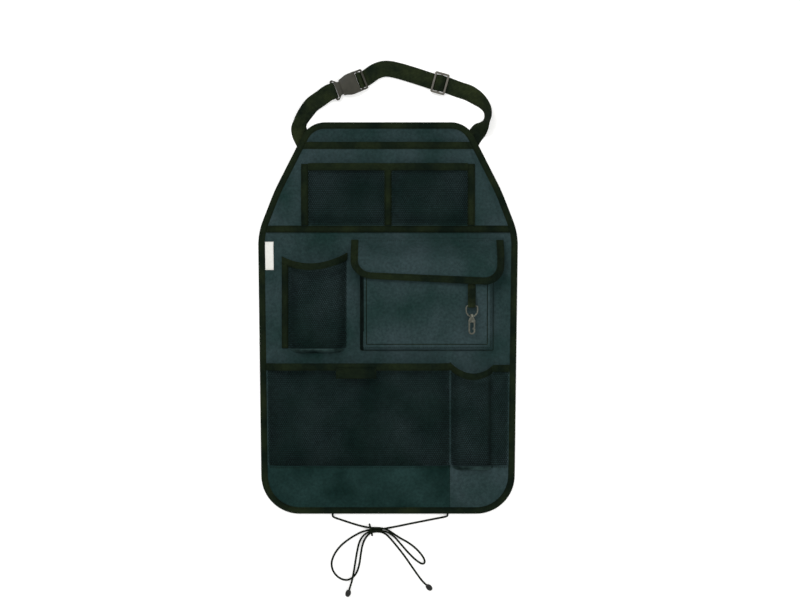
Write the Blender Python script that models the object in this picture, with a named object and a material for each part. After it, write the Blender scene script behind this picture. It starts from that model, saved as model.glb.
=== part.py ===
"""Car seat organizer lying on its back: a fabric panel with a bound edge, net and fabric pockets on its front,
a webbing strap with a side-release buckle and a slide adjuster, a key hook and two tie cords.

Units are metres. +X is to the right seen from the front, +Y points to the strap, +Z comes out of the front.
The origin is the middle of the panel's back face.
"""
import math

import bmesh
import bpy
from mathutils import Matrix, Vector
from mathutils.geometry import delaunay_2d_cdt

# Fits and cloth gauges
GAP = 0.0003
FABRIC = 0.0008
NET = 0.0007
TAPE = 0.0008
TAPE_WIDTH = 0.010
PANEL_THICKNESS = 0.0015
WEBBING = 0.0012
WEBBING_WIDTH = 0.025

# Panel outline
PANEL_LENGTH = 0.610
PANEL_BOTTOM_WIDTH = 0.3935
PANEL_SHOULDER_WIDTH = 0.4050
PANEL_SLOPE_WIDTH = 0.3544
PANEL_TOP_WIDTH = 0.2454
SHOULDER_HEIGHT = 0.4377
SLOPE_HEIGHT = 0.5027
BOTTOM_RADIUS = 0.060
SHOULDER_RADIUS = 0.105
SLOPE_RADIUS = 0.300
TOP_RADIUS = 0.040
RIM_RAMP = 0.0055
LIFT_START = 0.150
LIFT_END = 0.250

# Map pocket and card pockets
MAP_TOP_SETBACK = 0.032
MAP_DEPTH = 0.0054
MAP_RAMP = 0.010
CROSS_TAPE_Y = 0.1330
CROSS_TAPE_WIDTH = 0.0110
CARD_WIDTH = 0.271
CARD_TOP = 0.2397
CARD_DEPTH = 0.0056
CARD_RAMP = 0.014
CARD_TAPE_WIDTH = 0.0115
DIVIDER_WIDTH = 0.011
POCKET_RISE = 0.024

# Bottle pocket on the left
BOTTLE_LEFT = -0.1654
BOTTLE_RIGHT = -0.0638
BOTTLE_BOTTOM = -0.0470
BOTTLE_TOP_LEFT = 0.0950
BOTTLE_TOP_RIGHT = 0.1012
BOTTLE_SAG = 0.0140
BOTTLE_DEPTH = 0.0180
BOTTLE_RAMP = 0.020
BASE_STRIP = 0.0065
BASE_SHARE = 0.7
BASE_RISE = 0.030

# Flap pocket
FLAP_POCKET_LEFT = -0.0425
FLAP_POCKET_RIGHT = 0.1634
FLAP_POCKET_BOTTOM = -0.0497
FLAP_POCKET_TOP = 0.0872
FLAP_POCKET_DEPTH = 0.0190
FLAP_POCKET_FOOT_DEPTH = 0.0070
GUSSET_WIDTH = 0.0090
FLAP_LEFT = -0.0560
FLAP_RIGHT = 0.1789
FLAP_TOP = 0.1238
FLAP_BOTTOM = 0.0545
FLAP_RADIUS = 0.030
FLAP_SLANT = 0.012
FLAP_LEVEL_SHARE = 0.75
FLAP_MOUTH_FLAT = 0.0030
FLAP_DROOP = 0.45
FLAP_DROOP_WIDTH = 0.020
FLAP_DROOP_INSET = 0.0060
FASTENER = 0.0012
FASTENER_LENGTH = 0.060
FASTENER_WIDTH = 0.018

# Lower pockets, their seam and the corner one's pleat set back from the panel's side
LOWER_TOP = -0.0715
LOWER_DEPTH = 0.0120
LOWER_RAMP = 0.024
NET_SEAM_Y = -0.2295
SEAM_SETBACK = 0.10313
TAB_LENGTH = 0.063
TAB_WIDTH = 0.0165
TAB_X = -0.0494
TAB_TOP_DROP = 0.0062
TAB_THICKNESS = 0.0012
CORNER_TOP_LEFT = -0.0699
CORNER_TOP_RIGHT = -0.0740
CORNER_SAG = 0.0150
CORNER_DEPTH = 0.0180
CORNER_RAMP = 0.016
PLEAT_SETBACK = 0.03562

# Side label
LABEL_WIDTH = 0.0130
LABEL_LENGTH = 0.0440
LABEL_Y = 0.0969
LABEL_THICKNESS = 0.0005

# Key strap and snap hook
KEY_X = 0.1300
KEY_STRAP_WIDTH = 0.012
KEY_STRAP_TOP = 0.0700
KEY_STRAP_END = 0.0340
EYE_Y = 0.0190
EYE_WIDTH = 0.0200
EYE_LENGTH = 0.0188
EYE_WIRE = 0.0024
BOSS_DIAMETER = 0.0066
BOSS_LENGTH = 0.0032
STEM_DIAMETER = 0.0026
HEAD_DIAMETER = 0.0052
HEAD_LENGTH = 0.0014
HOOK_LENGTH = 0.0265
HOOK_WIDTH = 0.0104
HOOK_THICKNESS = 0.0040
HOOK_BAR = 0.0023
HOOK_NOSE = 0.0091
GATE_THICKNESS = 0.0016
GATE_PIN = 0.0014
PIVOT_X = 0.0033
PIVOT_DROP = 0.0056
KNUCKLE_RADIUS = 0.0019

# Buckle
BUCKLE_X = -0.0612
BUCKLE_Y = 0.3632
BUCKLE_TURN = math.radians(21.8)
BUCKLE_WIDTH = 0.0328
BUCKLE_HEIGHT = 0.0094
BUCKLE_WALL = 0.0016
SOCKET_MOUTH = -0.0125
SOCKET_END = 0.0272
SOCKET_BODY_END = 0.0147
MOUTH_WIDTH = 0.0250
BAR = 0.0030
SLOT_WIDTH = 0.0272
PLUG_END = -0.0264
PLUG_THICKNESS = 0.0040
PRONG_WIDTH = 0.0034
LATCH_START = -0.0045
LATCH_END = 0.0065
HARDWARE_Z = 0.0056

# Slide adjuster
ADJUSTER_X = 0.0809
ADJUSTER_Y = 0.3657
ADJUSTER_TURN = math.radians(-15.6)
ADJUSTER_LENGTH = 0.0230
ADJUSTER_WIDTH = 0.0335

# Tie cords
CORD_DIAMETER = 0.0030
CORD_STEP = 0.0068
KNOT_STEP = 0.0024
TIP_LENGTH = 0.0115
TIP_DIAMETER = 0.0086

# Sampling of curves and gap sizes, which are larger than the real mesh of the nets
GAP_SHARE = 0.66
LOOP_STEPS = (2, 4, 2, 3, 2)
ARC_STEPS = (6, 4, 2, 5)
LEAST_RADIUS = 0.004
TINY = 0.000001

HALF_LENGTH = PANEL_LENGTH / 2
BINDING_HEIGHT = PANEL_THICKNESS + 2 * (TAPE + GAP)
RIM_Z = TAPE + GAP
STRAP_LIFT = WEBBING + GAP
BOUND_INSET = TAPE_WIDTH + GAP
SIDE_X = (PANEL_BOTTOM_WIDTH + PANEL_SHOULDER_WIDTH) / 4
SEAM_X = SIDE_X - SEAM_SETBACK
PLEAT_X = SIDE_X - PLEAT_SETBACK

COLOURS = {
    "fabric": (0.022, 0.040, 0.053, 1.0),
    "net": (0.010, 0.019, 0.021, 1.0),
    "binding": (0.007, 0.009, 0.006, 1.0),
    "webbing": (0.009, 0.011, 0.008, 1.0),
    "plastic": (0.070, 0.066, 0.055, 1.0),
    "metal": (0.110, 0.115, 0.105, 1.0),
    "label": (0.800, 0.800, 0.780, 1.0),
    "cord": (0.006, 0.007, 0.005, 1.0),
    "fastener": (0.015, 0.017, 0.016, 1.0),
}
ROUGHNESS = {"metal": 0.35, "plastic": 0.45}


def clear_scene():
    for old in list(bpy.data.objects):
        bpy.data.objects.remove(old)


def finish_of(kind):
    """The Principled material of one kind of stuff, made once."""
    found = bpy.data.materials.get(kind)
    if found:
        return found
    made = bpy.data.materials.new(kind)
    made.use_nodes = True
    shader = made.node_tree.nodes["Principled BSDF"]
    shader.inputs["Base Color"].default_value = COLOURS[kind]
    shader.inputs["Roughness"].default_value = ROUGHNESS.get(kind, 0.85)
    shader.inputs["Metallic"].default_value = 1.0 if kind == "metal" else 0.0
    return made


def add_mesh(name, bm, kind, sharp=40.0):
    """Turns a closed bmesh into a named object with outward faces."""
    bmesh.ops.recalc_face_normals(bm, faces=bm.faces)
    mesh = bpy.data.meshes.new(name)
    bm.to_mesh(mesh)
    bm.free()
    mesh.shade_smooth()
    mesh.set_sharp_from_angle(angle=math.radians(sharp))
    made = bpy.data.objects.new(name, mesh)
    made.data.materials.append(finish_of(kind))
    bpy.context.scene.collection.objects.link(made)
    return made


# Small maths

def clamp(value):
    return min(1.0, max(0.0, value))


def smooth(value):
    value = clamp(value)
    return value * value * (3 - 2 * value)


def mix(low, high, share):
    return low + (high - low) * share


def spread(low, high, steps):
    return [mix(low, high, step / steps) for step in range(steps + 1)]


def hump(value, left, right, ramp_left, ramp_right):
    """Rises smoothly from 0 at left to 1, and falls to 0 at right."""
    return smooth((value - left) / ramp_left) * smooth((right - value) / ramp_right)


def flat(vector):
    """The plan part of a vector."""
    return Vector((vector[0], vector[1]))


def smooth_course(points, samples):
    """Points of a Catmull-Rom curve through a list of points of any size."""
    route = [Vector(p) for p in points]
    ends = [route[0] * 2 - route[1]] + route + [route[-1] * 2 - route[-2]]
    curve = []
    for index in range(1, len(ends) - 2):
        a, b, c, d = ends[index - 1:index + 3]
        for step in range(samples):
            t = step / samples
            curve.append(
                (b * 2 + (c - a) * t + (a * 2 - b * 5 + c * 4 - d) * t * t + (b * 3 - a - c * 3 + d) * t ** 3) / 2
            )
    curve.append(route[-1])
    return curve


# Panel outline

def panel_corners(inset):
    """The right half's corners, moved inwards by inset, each with the ways in and out and its radius."""
    bottom = Vector((PANEL_BOTTOM_WIDTH / 2, -HALF_LENGTH))
    shoulder = Vector((PANEL_SHOULDER_WIDTH / 2, SHOULDER_HEIGHT - HALF_LENGTH))
    slope = Vector((PANEL_SLOPE_WIDTH / 2, SLOPE_HEIGHT - HALF_LENGTH))
    top = Vector((PANEL_TOP_WIDTH / 2, HALF_LENGTH))
    points = [Vector((0, -HALF_LENGTH)), bottom, shoulder, slope, top, Vector((0, HALF_LENGTH))]
    radii = (BOTTOM_RADIUS, SHOULDER_RADIUS, SLOPE_RADIUS, TOP_RADIUS)
    corners = []
    for index, radius in enumerate(radii, start=1):
        before = (points[index] - points[index - 1]).normalized()
        after = (points[index + 1] - points[index]).normalized()
        normal_before = Vector((-before.y, before.x))
        normal_after = Vector((-after.y, after.x))
        reach = inset / (1 + normal_before.dot(normal_after))
        moved = points[index] + (normal_before + normal_after) * reach
        corners.append((moved, before, after, max(radius - inset, LEAST_RADIUS)))
    return corners


def arc(corner, before, after, radius, steps):
    """Points of the round where two edges of an outline meet, turning left."""
    turn = before.angle(after)
    start = corner - before * radius * math.tan(turn / 2)
    centre = start + Vector((-before.y, before.x)) * radius
    points = []
    for step in range(steps + 1):
        swing = Matrix.Rotation(turn * step / steps, 2)
        points.append(centre + swing @ (start - centre))
    return points


def panel_loop(inset):
    """The outline counter-clockwise from the bottom's middle, with as many points at every inset."""
    right = [Vector((0, -HALF_LENGTH + inset))]
    for corner, steps, arc_steps in zip(panel_corners(inset), LOOP_STEPS, ARC_STEPS):
        points = arc(*corner, arc_steps)
        start = right[-1]
        right.extend(start.lerp(points[0], step / steps) for step in range(1, steps))
        right.extend(points)
    start = right[-1]
    top = Vector((0, HALF_LENGTH - inset))
    right.extend(start.lerp(top, step / LOOP_STEPS[-1]) for step in range(1, LOOP_STEPS[-1]))
    left = [Vector((-p.x, p.y)) for p in reversed(right[1:])]
    return right + [top] + left


OUTLINE = panel_loop(0.0)
INSIDE_BINDING = panel_loop(BOUND_INSET)


def edge_distance(x, y):
    """How far a point lies from the panel's outline."""
    point = Vector((x, y))
    nearest = HALF_LENGTH
    for start, end in zip(OUTLINE, OUTLINE[1:] + OUTLINE[:1]):
        along = end - start
        share = clamp((point - start).dot(along) / along.length_squared)
        nearest = min(nearest, (point - start - along * share).length)
    return nearest


def half_width(y):
    """Half the width between the edge bindings at a height."""
    widest = 0.0
    for start, end in zip(INSIDE_BINDING, INSIDE_BINDING[1:]):
        low, high = min(start.y, end.y), max(start.y, end.y)
        if low - TINY <= y <= high + TINY and min(start.x, end.x) >= 0:
            share = clamp((y - start.y) / (end.y - start.y)) if high - low > TINY else 1.0
            widest = max(widest, mix(start.x, end.x, share))
    return widest


# Routes of the two straps: x, y and the tilt in degrees, from the buckle or adjuster to the panel

LEFT_ROUTE = (
    (-0.1045, 0.3425, 4), (-0.1182, 0.3325, 10), (-0.1256, 0.3232, 18), (-0.1333, 0.3113, 32),
    (-0.1374, 0.3020, 34), (-0.1386, 0.2935, 8), (-0.1368, 0.2850, 0), (-0.1325, 0.2760, 0), (-0.1258, 0.2650, 0),
)
MIDDLE_ROUTE = (
    (-0.0280, 0.3785, 0), (-0.0187, 0.3846, 0), (-0.0078, 0.3882, 0), (0.0031, 0.3882, 0),
    (0.0166, 0.3853, 0), (0.0299, 0.3815, 0), (0.0475, 0.3760, 0),
)
RIGHT_ROUTE = (
    (0.1120, 0.3556, 0), (0.1250, 0.3511, 8), (0.1370, 0.3436, 26), (0.1474, 0.3346, 46),
    (0.1540, 0.3250, 60), (0.1556, 0.3150, 66), (0.1530, 0.3060, 66), (0.1484, 0.2988, 44),
    (0.1426, 0.2926, 10), (0.1392, 0.2884, 0), (0.1360, 0.2844, 0), (0.1308, 0.2762, 0), (0.1260, 0.2645, 0),
)


def strap_lift(y):
    """How far the panel's top leans up over the strap ends, which lie behind its upper corners."""
    return STRAP_LIFT * smooth((y - LIFT_START) / (LIFT_END - LIFT_START))


def panel_low(x, y):
    rim = smooth((BOUND_INSET + GAP + RIM_RAMP - edge_distance(x, y)) / RIM_RAMP)
    return RIM_Z * rim + strap_lift(y)


def on_panel(x, y):
    """Lowest height for a sheet lying on the panel."""
    return panel_low(x, y) + PANEL_THICKNESS + GAP


# Sheet building

def add_face(bm, *verts):
    """Adds a face as triangles from its first corner."""
    for index in range(1, len(verts) - 1):
        bm.faces.new((verts[0], verts[index], verts[index + 1]))


class Cloth:
    """A sheet given by a grid of points on its lower face, rows from the sewn edge to the free edge."""

    def __init__(self, rows, thickness):
        self.rows = rows
        self.thickness = thickness
        self.normals = [[self.normal(r, c) for c in range(len(row))] for r, row in enumerate(rows)]

    def normal(self, r, c):
        rows = self.rows
        up = rows[min(r + 1, len(rows) - 1)][c] - rows[max(r - 1, 0)][c]
        ends = (0, len(rows[r]) - 1)
        across = Vector((1, 0, 0)) if c in ends else rows[r][c + 1] - rows[r][c - 1]
        return across.cross(up).normalized()

    def at(self, r, c, height=0.0):
        return self.rows[r][c] + self.normals[r][c] * height

    def patch(self, rows, columns, height, thickness):
        """A strip lying on this sheet over some of its rows and columns."""
        return Cloth([[self.at(r, c, height) for c in columns] for r in rows], thickness)


def draw_in_rows(cloth, low, high):
    """Draws a strip's first and last rows in towards the next ones."""
    rows = cloth.rows
    rows[0] = [p + (q - p).normalized() * low for p, q in zip(rows[0], rows[1])]
    rows[-1] = [p + (q - p).normalized() * high for p, q in zip(rows[-1], rows[-2])]


def draw_in_columns(cloth, low, high):
    """Draws a strip's first and last columns in towards the next ones."""
    for row in cloth.rows:
        row[0] = row[0] + (row[1] - row[0]).normalized() * low
        row[-1] = row[-1] + (row[-2] - row[-1]).normalized() * high


def cells(rows, columns):
    return {(r, c) for r in rows for c in columns}


def gap_rim(bm, corners):
    """Four points of a diamond gap in one cell of a net."""
    centre = sum((v.co for v in corners), Vector()) / 4
    middles = [(corners[i].co + corners[(i + 1) % 4].co) / 2 for i in range(4)]
    return [bm.verts.new(centre.lerp(middle, GAP_SHARE)) for middle in middles]


def add_gap(bm, low, top):
    """One cell of a net, open in its middle."""
    low_rim, top_rim = gap_rim(bm, low), gap_rim(bm, top)
    for here in range(4):
        after = (here + 1) % 4
        for corners, rim in ((low, low_rim), (top, top_rim)):
            bm.faces.new((corners[here], corners[after], rim[here]))
            bm.faces.new((corners[after], rim[after], rim[here]))
        add_face(bm, low_rim[here], low_rim[after], top_rim[after], top_rim[here])


def rim_of(grid):
    """The vertices round a grid, in order."""
    right = [row[-1] for row in grid[:-1]]
    left = [row[0] for row in grid[:0:-1]]
    return grid[0][:-1] + right + grid[-1][:0:-1] + left


def add_skin(name, cloth, kind, gaps=()):
    """A closed solid of a sheet, with diamond gaps in the named cells of a net."""
    bm = bmesh.new()
    size = range(len(cloth.rows)), range(len(cloth.rows[0]))
    low = [[bm.verts.new(cloth.at(r, c)) for c in size[1]] for r in size[0]]
    top = [[bm.verts.new(cloth.at(r, c, cloth.thickness)) for c in size[1]] for r in size[0]]
    for r in size[0][:-1]:
        for c in size[1][:-1]:
            below, above = (
                (side[r][c], side[r][c + 1], side[r + 1][c + 1], side[r + 1][c]) for side in (low, top)
            )
            if (r, c) in gaps:
                add_gap(bm, below, above)
            else:
                add_face(bm, *below)
                add_face(bm, *above)
    low_rim, top_rim = rim_of(low), rim_of(top)
    for here in range(len(low_rim)):
        after = (here + 1) % len(low_rim)
        add_face(bm, low_rim[here], low_rim[after], top_rim[after], top_rim[here])
    return add_mesh(name, bm, kind)


def add_sweep(name, stations, kind, closed=False):
    """A solid through sections of as many points each, such as a folded tape or a strap."""
    bm = bmesh.new()
    rings = [[bm.verts.new(p) for p in station] for station in stations]
    count = len(rings) if closed else len(rings) - 1
    sides = len(rings[0])
    for index in range(count):
        here, there = rings[index], rings[(index + 1) % len(rings)]
        for side in range(sides):
            after = (side + 1) % sides
            add_face(bm, here[side], here[after], there[after], there[side])
    if not closed:
        bm.faces.new(rings[0])
        bm.faces.new(tuple(reversed(rings[-1])))
    return add_mesh(name, bm, kind, 50.0)


def hem_section(edge, inner, edge_up, inner_up, thickness):
    """Section of a hem tape, which lies on a sheet's face and folds over its edge."""
    out = (edge - inner).normalized()
    low, high = thickness + GAP, thickness + GAP + TAPE
    return [
        inner + inner_up * low,
        edge + edge_up * low + out * GAP,
        edge + out * GAP,
        edge + out * (GAP + TAPE),
        edge + out * (GAP + TAPE) + edge_up * (high - TAPE / 2),
        edge + out * (GAP + TAPE / 2) + edge_up * high,
        inner + inner_up * high,
    ]


def add_hem(name, cloth, columns):
    """A hem tape along a sheet's last row, reaching back to the row before it."""
    edges, inners = cloth.rows[-1], cloth.rows[-2]
    ups, inner_ups = cloth.normals[-1], cloth.normals[-2]
    stations = [hem_section(edges[c], inners[c], ups[c], inner_ups[c], cloth.thickness) for c in columns]
    return add_sweep(name, stations, "binding")


# Panel and its edge binding

def make_panel():
    insets = (RIM_Z, BOUND_INSET + GAP, BOUND_INSET + GAP + RIM_RAMP / 2, BOUND_INSET + GAP + RIM_RAMP)
    bm = bmesh.new()
    low, top = [], []
    for inset in insets:
        points = [Vector((p.x, p.y, panel_low(p.x, p.y))) for p in panel_loop(inset)]
        low.append([bm.verts.new(p) for p in points])
        top.append([bm.verts.new(p + Vector((0, 0, PANEL_THICKNESS))) for p in points])
    count = len(low[0])
    for here in range(count):
        after = (here + 1) % count
        for face in (low, top):
            for outer, inner in zip(face, face[1:]):
                add_face(bm, outer[here], outer[after], inner[after], inner[here])
        add_face(bm, low[0][here], low[0][after], top[0][after], top[0][here])
    for face in (low[-1], top[-1]):
        for here in range(count // 2):
            rung = (face[here], face[here + 1], face[-here - 1], face[-here])
            add_face(bm, *dict.fromkeys(rung))
    add_mesh("back_panel", bm, "fabric")


def make_edge_binding():
    chamfer = TAPE * 0.7
    stations = []
    for edge, back in zip(panel_loop(0.0), panel_loop(TAPE_WIDTH)):
        inward = (back - edge).normalized()
        shell = edge + inward * TAPE
        soft = edge + inward * chamfer
        section = (
            (edge, chamfer), (soft, 0.0), (back, 0.0), (back, TAPE), (shell, TAPE),
            (shell, BINDING_HEIGHT - TAPE), (back, BINDING_HEIGHT - TAPE), (back, BINDING_HEIGHT),
            (soft, BINDING_HEIGHT), (edge, BINDING_HEIGHT - chamfer),
        )
        stations.append([Vector((p.x, p.y, z + strap_lift(p.y))) for p, z in section])
    add_sweep("edge_binding", stations, "binding", closed=True)


# Map pocket

CARD_BOTTOM = CROSS_TAPE_Y + CROSS_TAPE_WIDTH + GAP
RISE_ROWS = spread(CARD_BOTTOM, CARD_BOTTOM + POCKET_RISE, 4)
MAP_TOP = HALF_LENGTH - MAP_TOP_SETBACK


def upper_rise(y):
    """How far the map and card pockets have opened at a height, from 0 at the cross tape to 1."""
    return smooth((y - CARD_BOTTOM) / POCKET_RISE)


def make_map_pocket():
    rows = []
    heights = [CROSS_TAPE_Y + GAP] + RISE_ROWS + spread(RISE_ROWS[-1], CARD_TOP, 3)[1:]
    heights += [mix(CARD_TOP, MAP_TOP, 0.35), MAP_TOP - TAPE_WIDTH, MAP_TOP]
    for y in heights:
        edge = half_width(y)
        side = [edge - offset for offset in spread(0, MAP_RAMP, 4)] + [edge * 0.7, edge * 0.3]
        columns = [-x for x in side] + list(reversed(side))
        depths = [MAP_DEPTH * upper_rise(y) * smooth((edge - abs(x)) / MAP_RAMP) for x in columns]
        rows.append([Vector((x, y, on_panel(x, y) + depth)) for x, depth in zip(columns, depths)])
    cloth = Cloth(rows, FABRIC)
    every = range(len(rows[0]))
    add_skin("map_pocket_front", cloth, "fabric")
    add_hem("map_pocket_hem", cloth, every)
    tape = cloth.patch((0, 1), every, FABRIC + GAP, TAPE)
    draw_in_rows(tape, 0, GAP)
    add_skin("cross_tape", tape, "binding")


# Card pockets on the map pocket

def card_low(x, y):
    """Height of the card net, which lies on the map pocket's front."""
    inner = CARD_WIDTH / 2 - CARD_TAPE_WIDTH
    bulge = hump(abs(x), DIVIDER_WIDTH / 2, inner, CARD_RAMP, CARD_RAMP)
    base = PANEL_THICKNESS + GAP + FABRIC + GAP + strap_lift(y)
    return base + (MAP_DEPTH + CARD_DEPTH * bulge) * upper_rise(y)


def make_card_pockets():
    inner = CARD_WIDTH / 2 - CARD_TAPE_WIDTH
    start = DIVIDER_WIDTH / 2
    side = spread(start, start + CARD_RAMP, 3) + spread(start + CARD_RAMP, inner - CARD_RAMP, 6)[1:]
    side += spread(inner - CARD_RAMP, inner, 3)[1:] + [CARD_WIDTH / 2 - GAP]
    columns = [-x for x in reversed(side)] + side
    heights = [RISE_ROWS[0] + GAP] + RISE_ROWS[1:]
    heights += spread(RISE_ROWS[-1], CARD_TOP - TAPE_WIDTH, 3)[1:] + [CARD_TOP]
    cloth = Cloth([[Vector((x, y, card_low(x, y))) for x in columns] for y in heights], NET)
    last, half = len(columns) - 1, len(side)
    flat_rows = range(4, len(heights) - 2)
    open_cells = cells(flat_rows, range(half + 3, last - 4))
    open_cells |= cells(flat_rows, range(4, half - 4))
    add_skin("card_net", cloth, "net", open_cells)
    add_hem("card_net_hem", cloth, range(1, last))
    every = range(len(heights))
    left = cloth.patch(every, (0, 1), NET + GAP, TAPE)
    draw_in_columns(left, 0, GAP)
    add_skin("card_tape_left", left, "binding")
    right = cloth.patch(every, (last - 1, last), NET + GAP, TAPE)
    draw_in_columns(right, GAP, 0)
    add_skin("card_tape_right", right, "binding")
    middle = cloth.patch(every[:-1], (half - 1, half), NET + GAP, TAPE)
    draw_in_rows(middle, 0, GAP)
    add_skin("card_tape_divider", middle, "binding")


# Net bottle pocket

def make_base(name, net, columns):
    """The slanting base piece that closes the foot of a bottle net."""
    rows = [[], []]
    for c in columns:
        edge = net.rows[0][c] - Vector((0, GAP * 2, 0))
        height = edge.z - on_panel(edge.x, edge.y)
        foot = flat(edge) - Vector((0, BASE_STRIP * (0.3 + 0.7 * clamp(height / BOTTLE_DEPTH / BASE_SHARE))))
        lift = FABRIC + GAP if foot.y < NET_SEAM_Y + BASE_STRIP else 0.0
        rows[0].append(Vector((foot.x, foot.y, on_panel(foot.x, foot.y) + lift)))
        rows[1].append(edge)
    add_skin(name, Cloth(rows, FABRIC), "fabric")


def make_bottle_pocket():
    pinned = BOTTLE_LEFT + TAPE_WIDTH
    columns = [BOTTLE_LEFT] + spread(pinned, pinned + BOTTLE_RAMP, 4)
    columns += spread(pinned + BOTTLE_RAMP, BOTTLE_RIGHT - BOTTLE_RAMP, 3)[1:]
    columns += spread(BOTTLE_RIGHT - BOTTLE_RAMP, BOTTLE_RIGHT, 4)[1:]
    rows = []
    top_length = BOTTLE_TOP_LEFT - BOTTLE_BOTTOM
    risen, hem_foot = BASE_RISE / top_length, 1 - TAPE_WIDTH / top_length
    for share in spread(0, risen, 2) + spread(risen, hem_foot, 5)[1:] + [1.0]:
        row = []
        for x in columns:
            u = (x - BOTTLE_LEFT) / (BOTTLE_RIGHT - BOTTLE_LEFT)
            top = mix(BOTTLE_TOP_LEFT, BOTTLE_TOP_RIGHT, u) - BOTTLE_SAG * 4 * u * (1 - u)
            y = mix(BOTTLE_BOTTOM, top, share)
            opened = mix(BASE_SHARE, 1.0, smooth((y - BOTTLE_BOTTOM) / BASE_RISE))
            bulge = hump(x, pinned, BOTTLE_RIGHT, BOTTLE_RAMP, BOTTLE_RAMP)
            row.append(Vector((x, y, on_panel(x, y) + BOTTLE_DEPTH * opened * bulge)))
        rows.append(row)
    cloth = Cloth(rows, NET)
    add_skin("bottle_net", cloth, "net", cells(range(2, len(rows) - 2), range(4, len(columns) - 4)))
    add_hem("bottle_net_hem", cloth, range(len(columns)))
    tape = cloth.patch(range(len(rows) - 1), (0, 1), NET + GAP, TAPE)
    draw_in_rows(tape, 0, GAP)
    add_skin("bottle_net_tape", tape, "binding")
    make_base("bottle_net_base", cloth, range(2, len(columns) - 1))


# Flap pocket

FLAP_CLEARANCE = 2 * FASTENER + 3 * GAP + 0.0003


def ease_out(value):
    return 1 - (1 - clamp(value)) ** 3


def flap_pocket_depth(y):
    share = (y - FLAP_POCKET_BOTTOM) / (FLAP_POCKET_TOP - FLAP_POCKET_BOTTOM)
    return mix(FLAP_POCKET_FOOT_DEPTH, FLAP_POCKET_DEPTH, share)


def on_flap_pocket(y):
    """Lowest height for a thing lying on the middle of the flap pocket's front."""
    return PANEL_THICKNESS + GAP + flap_pocket_depth(y) + FABRIC + GAP


def make_flap_pocket():
    offsets = [GUSSET_WIDTH * share for share in (0, 0.17, 0.4, 0.68, 1.0)]
    columns = [FLAP_POCKET_LEFT + offset for offset in offsets]
    columns += spread(columns[-1], FLAP_POCKET_RIGHT - GUSSET_WIDTH, 4)[1:-1]
    columns += [FLAP_POCKET_RIGHT - offset for offset in reversed(offsets)]
    heights = [FLAP_POCKET_BOTTOM + offset for offset in offsets]
    heights += spread(heights[-1], FLAP_POCKET_TOP, 5)[1:]
    rows = []
    for y in heights:
        foot = ease_out((y - FLAP_POCKET_BOTTOM) / GUSSET_WIDTH)
        row = []
        for x in columns:
            left, right = x - FLAP_POCKET_LEFT, FLAP_POCKET_RIGHT - x
            side = ease_out(left / GUSSET_WIDTH) * ease_out(right / GUSSET_WIDTH)
            row.append(Vector((x, y, PANEL_THICKNESS + GAP + flap_pocket_depth(y) * foot * side)))
        rows.append(row)
    add_skin("flap_pocket_front", Cloth(rows, FABRIC), "fabric")


def flap_low(x, y):
    """Height of the flap: sewn to the panel at its top, over the pocket's mouth and down its front."""
    base = PANEL_THICKNESS + GAP
    lying = on_flap_pocket(min(y, FLAP_POCKET_TOP)) + FLAP_CLEARANCE - GAP - base
    mouth = FLAP_POCKET_TOP + FLAP_MOUTH_FLAT
    rise = 1 - smooth((y - mouth) / (FLAP_TOP - mouth))
    left, right = FLAP_POCKET_LEFT + FLAP_DROOP_INSET, FLAP_POCKET_RIGHT - FLAP_DROOP_INSET
    beyond = max(left - x, x - right, 0.0) / FLAP_DROOP_WIDTH
    return base + lying * rise * (1 - FLAP_DROOP * beyond * beyond)


def slanted(x, y):
    """A height on the flap, moved so that its free edge slants down to the right."""
    along = (x - FLAP_LEFT) / (FLAP_RIGHT - FLAP_LEFT)
    down = (FLAP_TOP - y) / (FLAP_TOP - FLAP_BOTTOM)
    return y + FLAP_SLANT * (FLAP_LEVEL_SHARE - along) * down


def flap_point(x, level, height):
    """A point at a height above the flap's lower face, along its normal, from its place on a level flap."""
    y = slanted(x, level)
    step = 0.0005
    slope_x = (flap_low(x + step, y) - flap_low(x - step, y)) / (2 * step)
    slope_y = (flap_low(x, y + step) - flap_low(x, y - step)) / (2 * step)
    up = Vector((-slope_x, -slope_y, 1)).normalized()
    return Vector((x, y, flap_low(x, y))) + up * height


def flap_side():
    """Heights down the flap's straight sides."""
    return [mix(FLAP_TOP, FLAP_BOTTOM + FLAP_RADIUS, share) for share in (0.0, 0.2, 0.4, 0.6, 0.78)]


def flap_path(inset):
    """The flap's free edge, from its top left round the bottom to its top right."""
    left, right, bottom = FLAP_LEFT + inset, FLAP_RIGHT - inset, FLAP_BOTTOM + inset
    radius = FLAP_RADIUS - inset
    side = flap_side()
    across = spread(left + radius, right - radius, 8)
    path = [Vector((left, y)) for y in side]
    path += arc(Vector((left, bottom)), Vector((0, -1)), Vector((1, 0)), radius, 6)
    path += [Vector((x, bottom)) for x in across[1:-1]]
    path += arc(Vector((right, bottom)), Vector((1, 0)), Vector((0, 1)), radius, 6)
    path += [Vector((right, y)) for y in reversed(side)]
    return path


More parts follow.
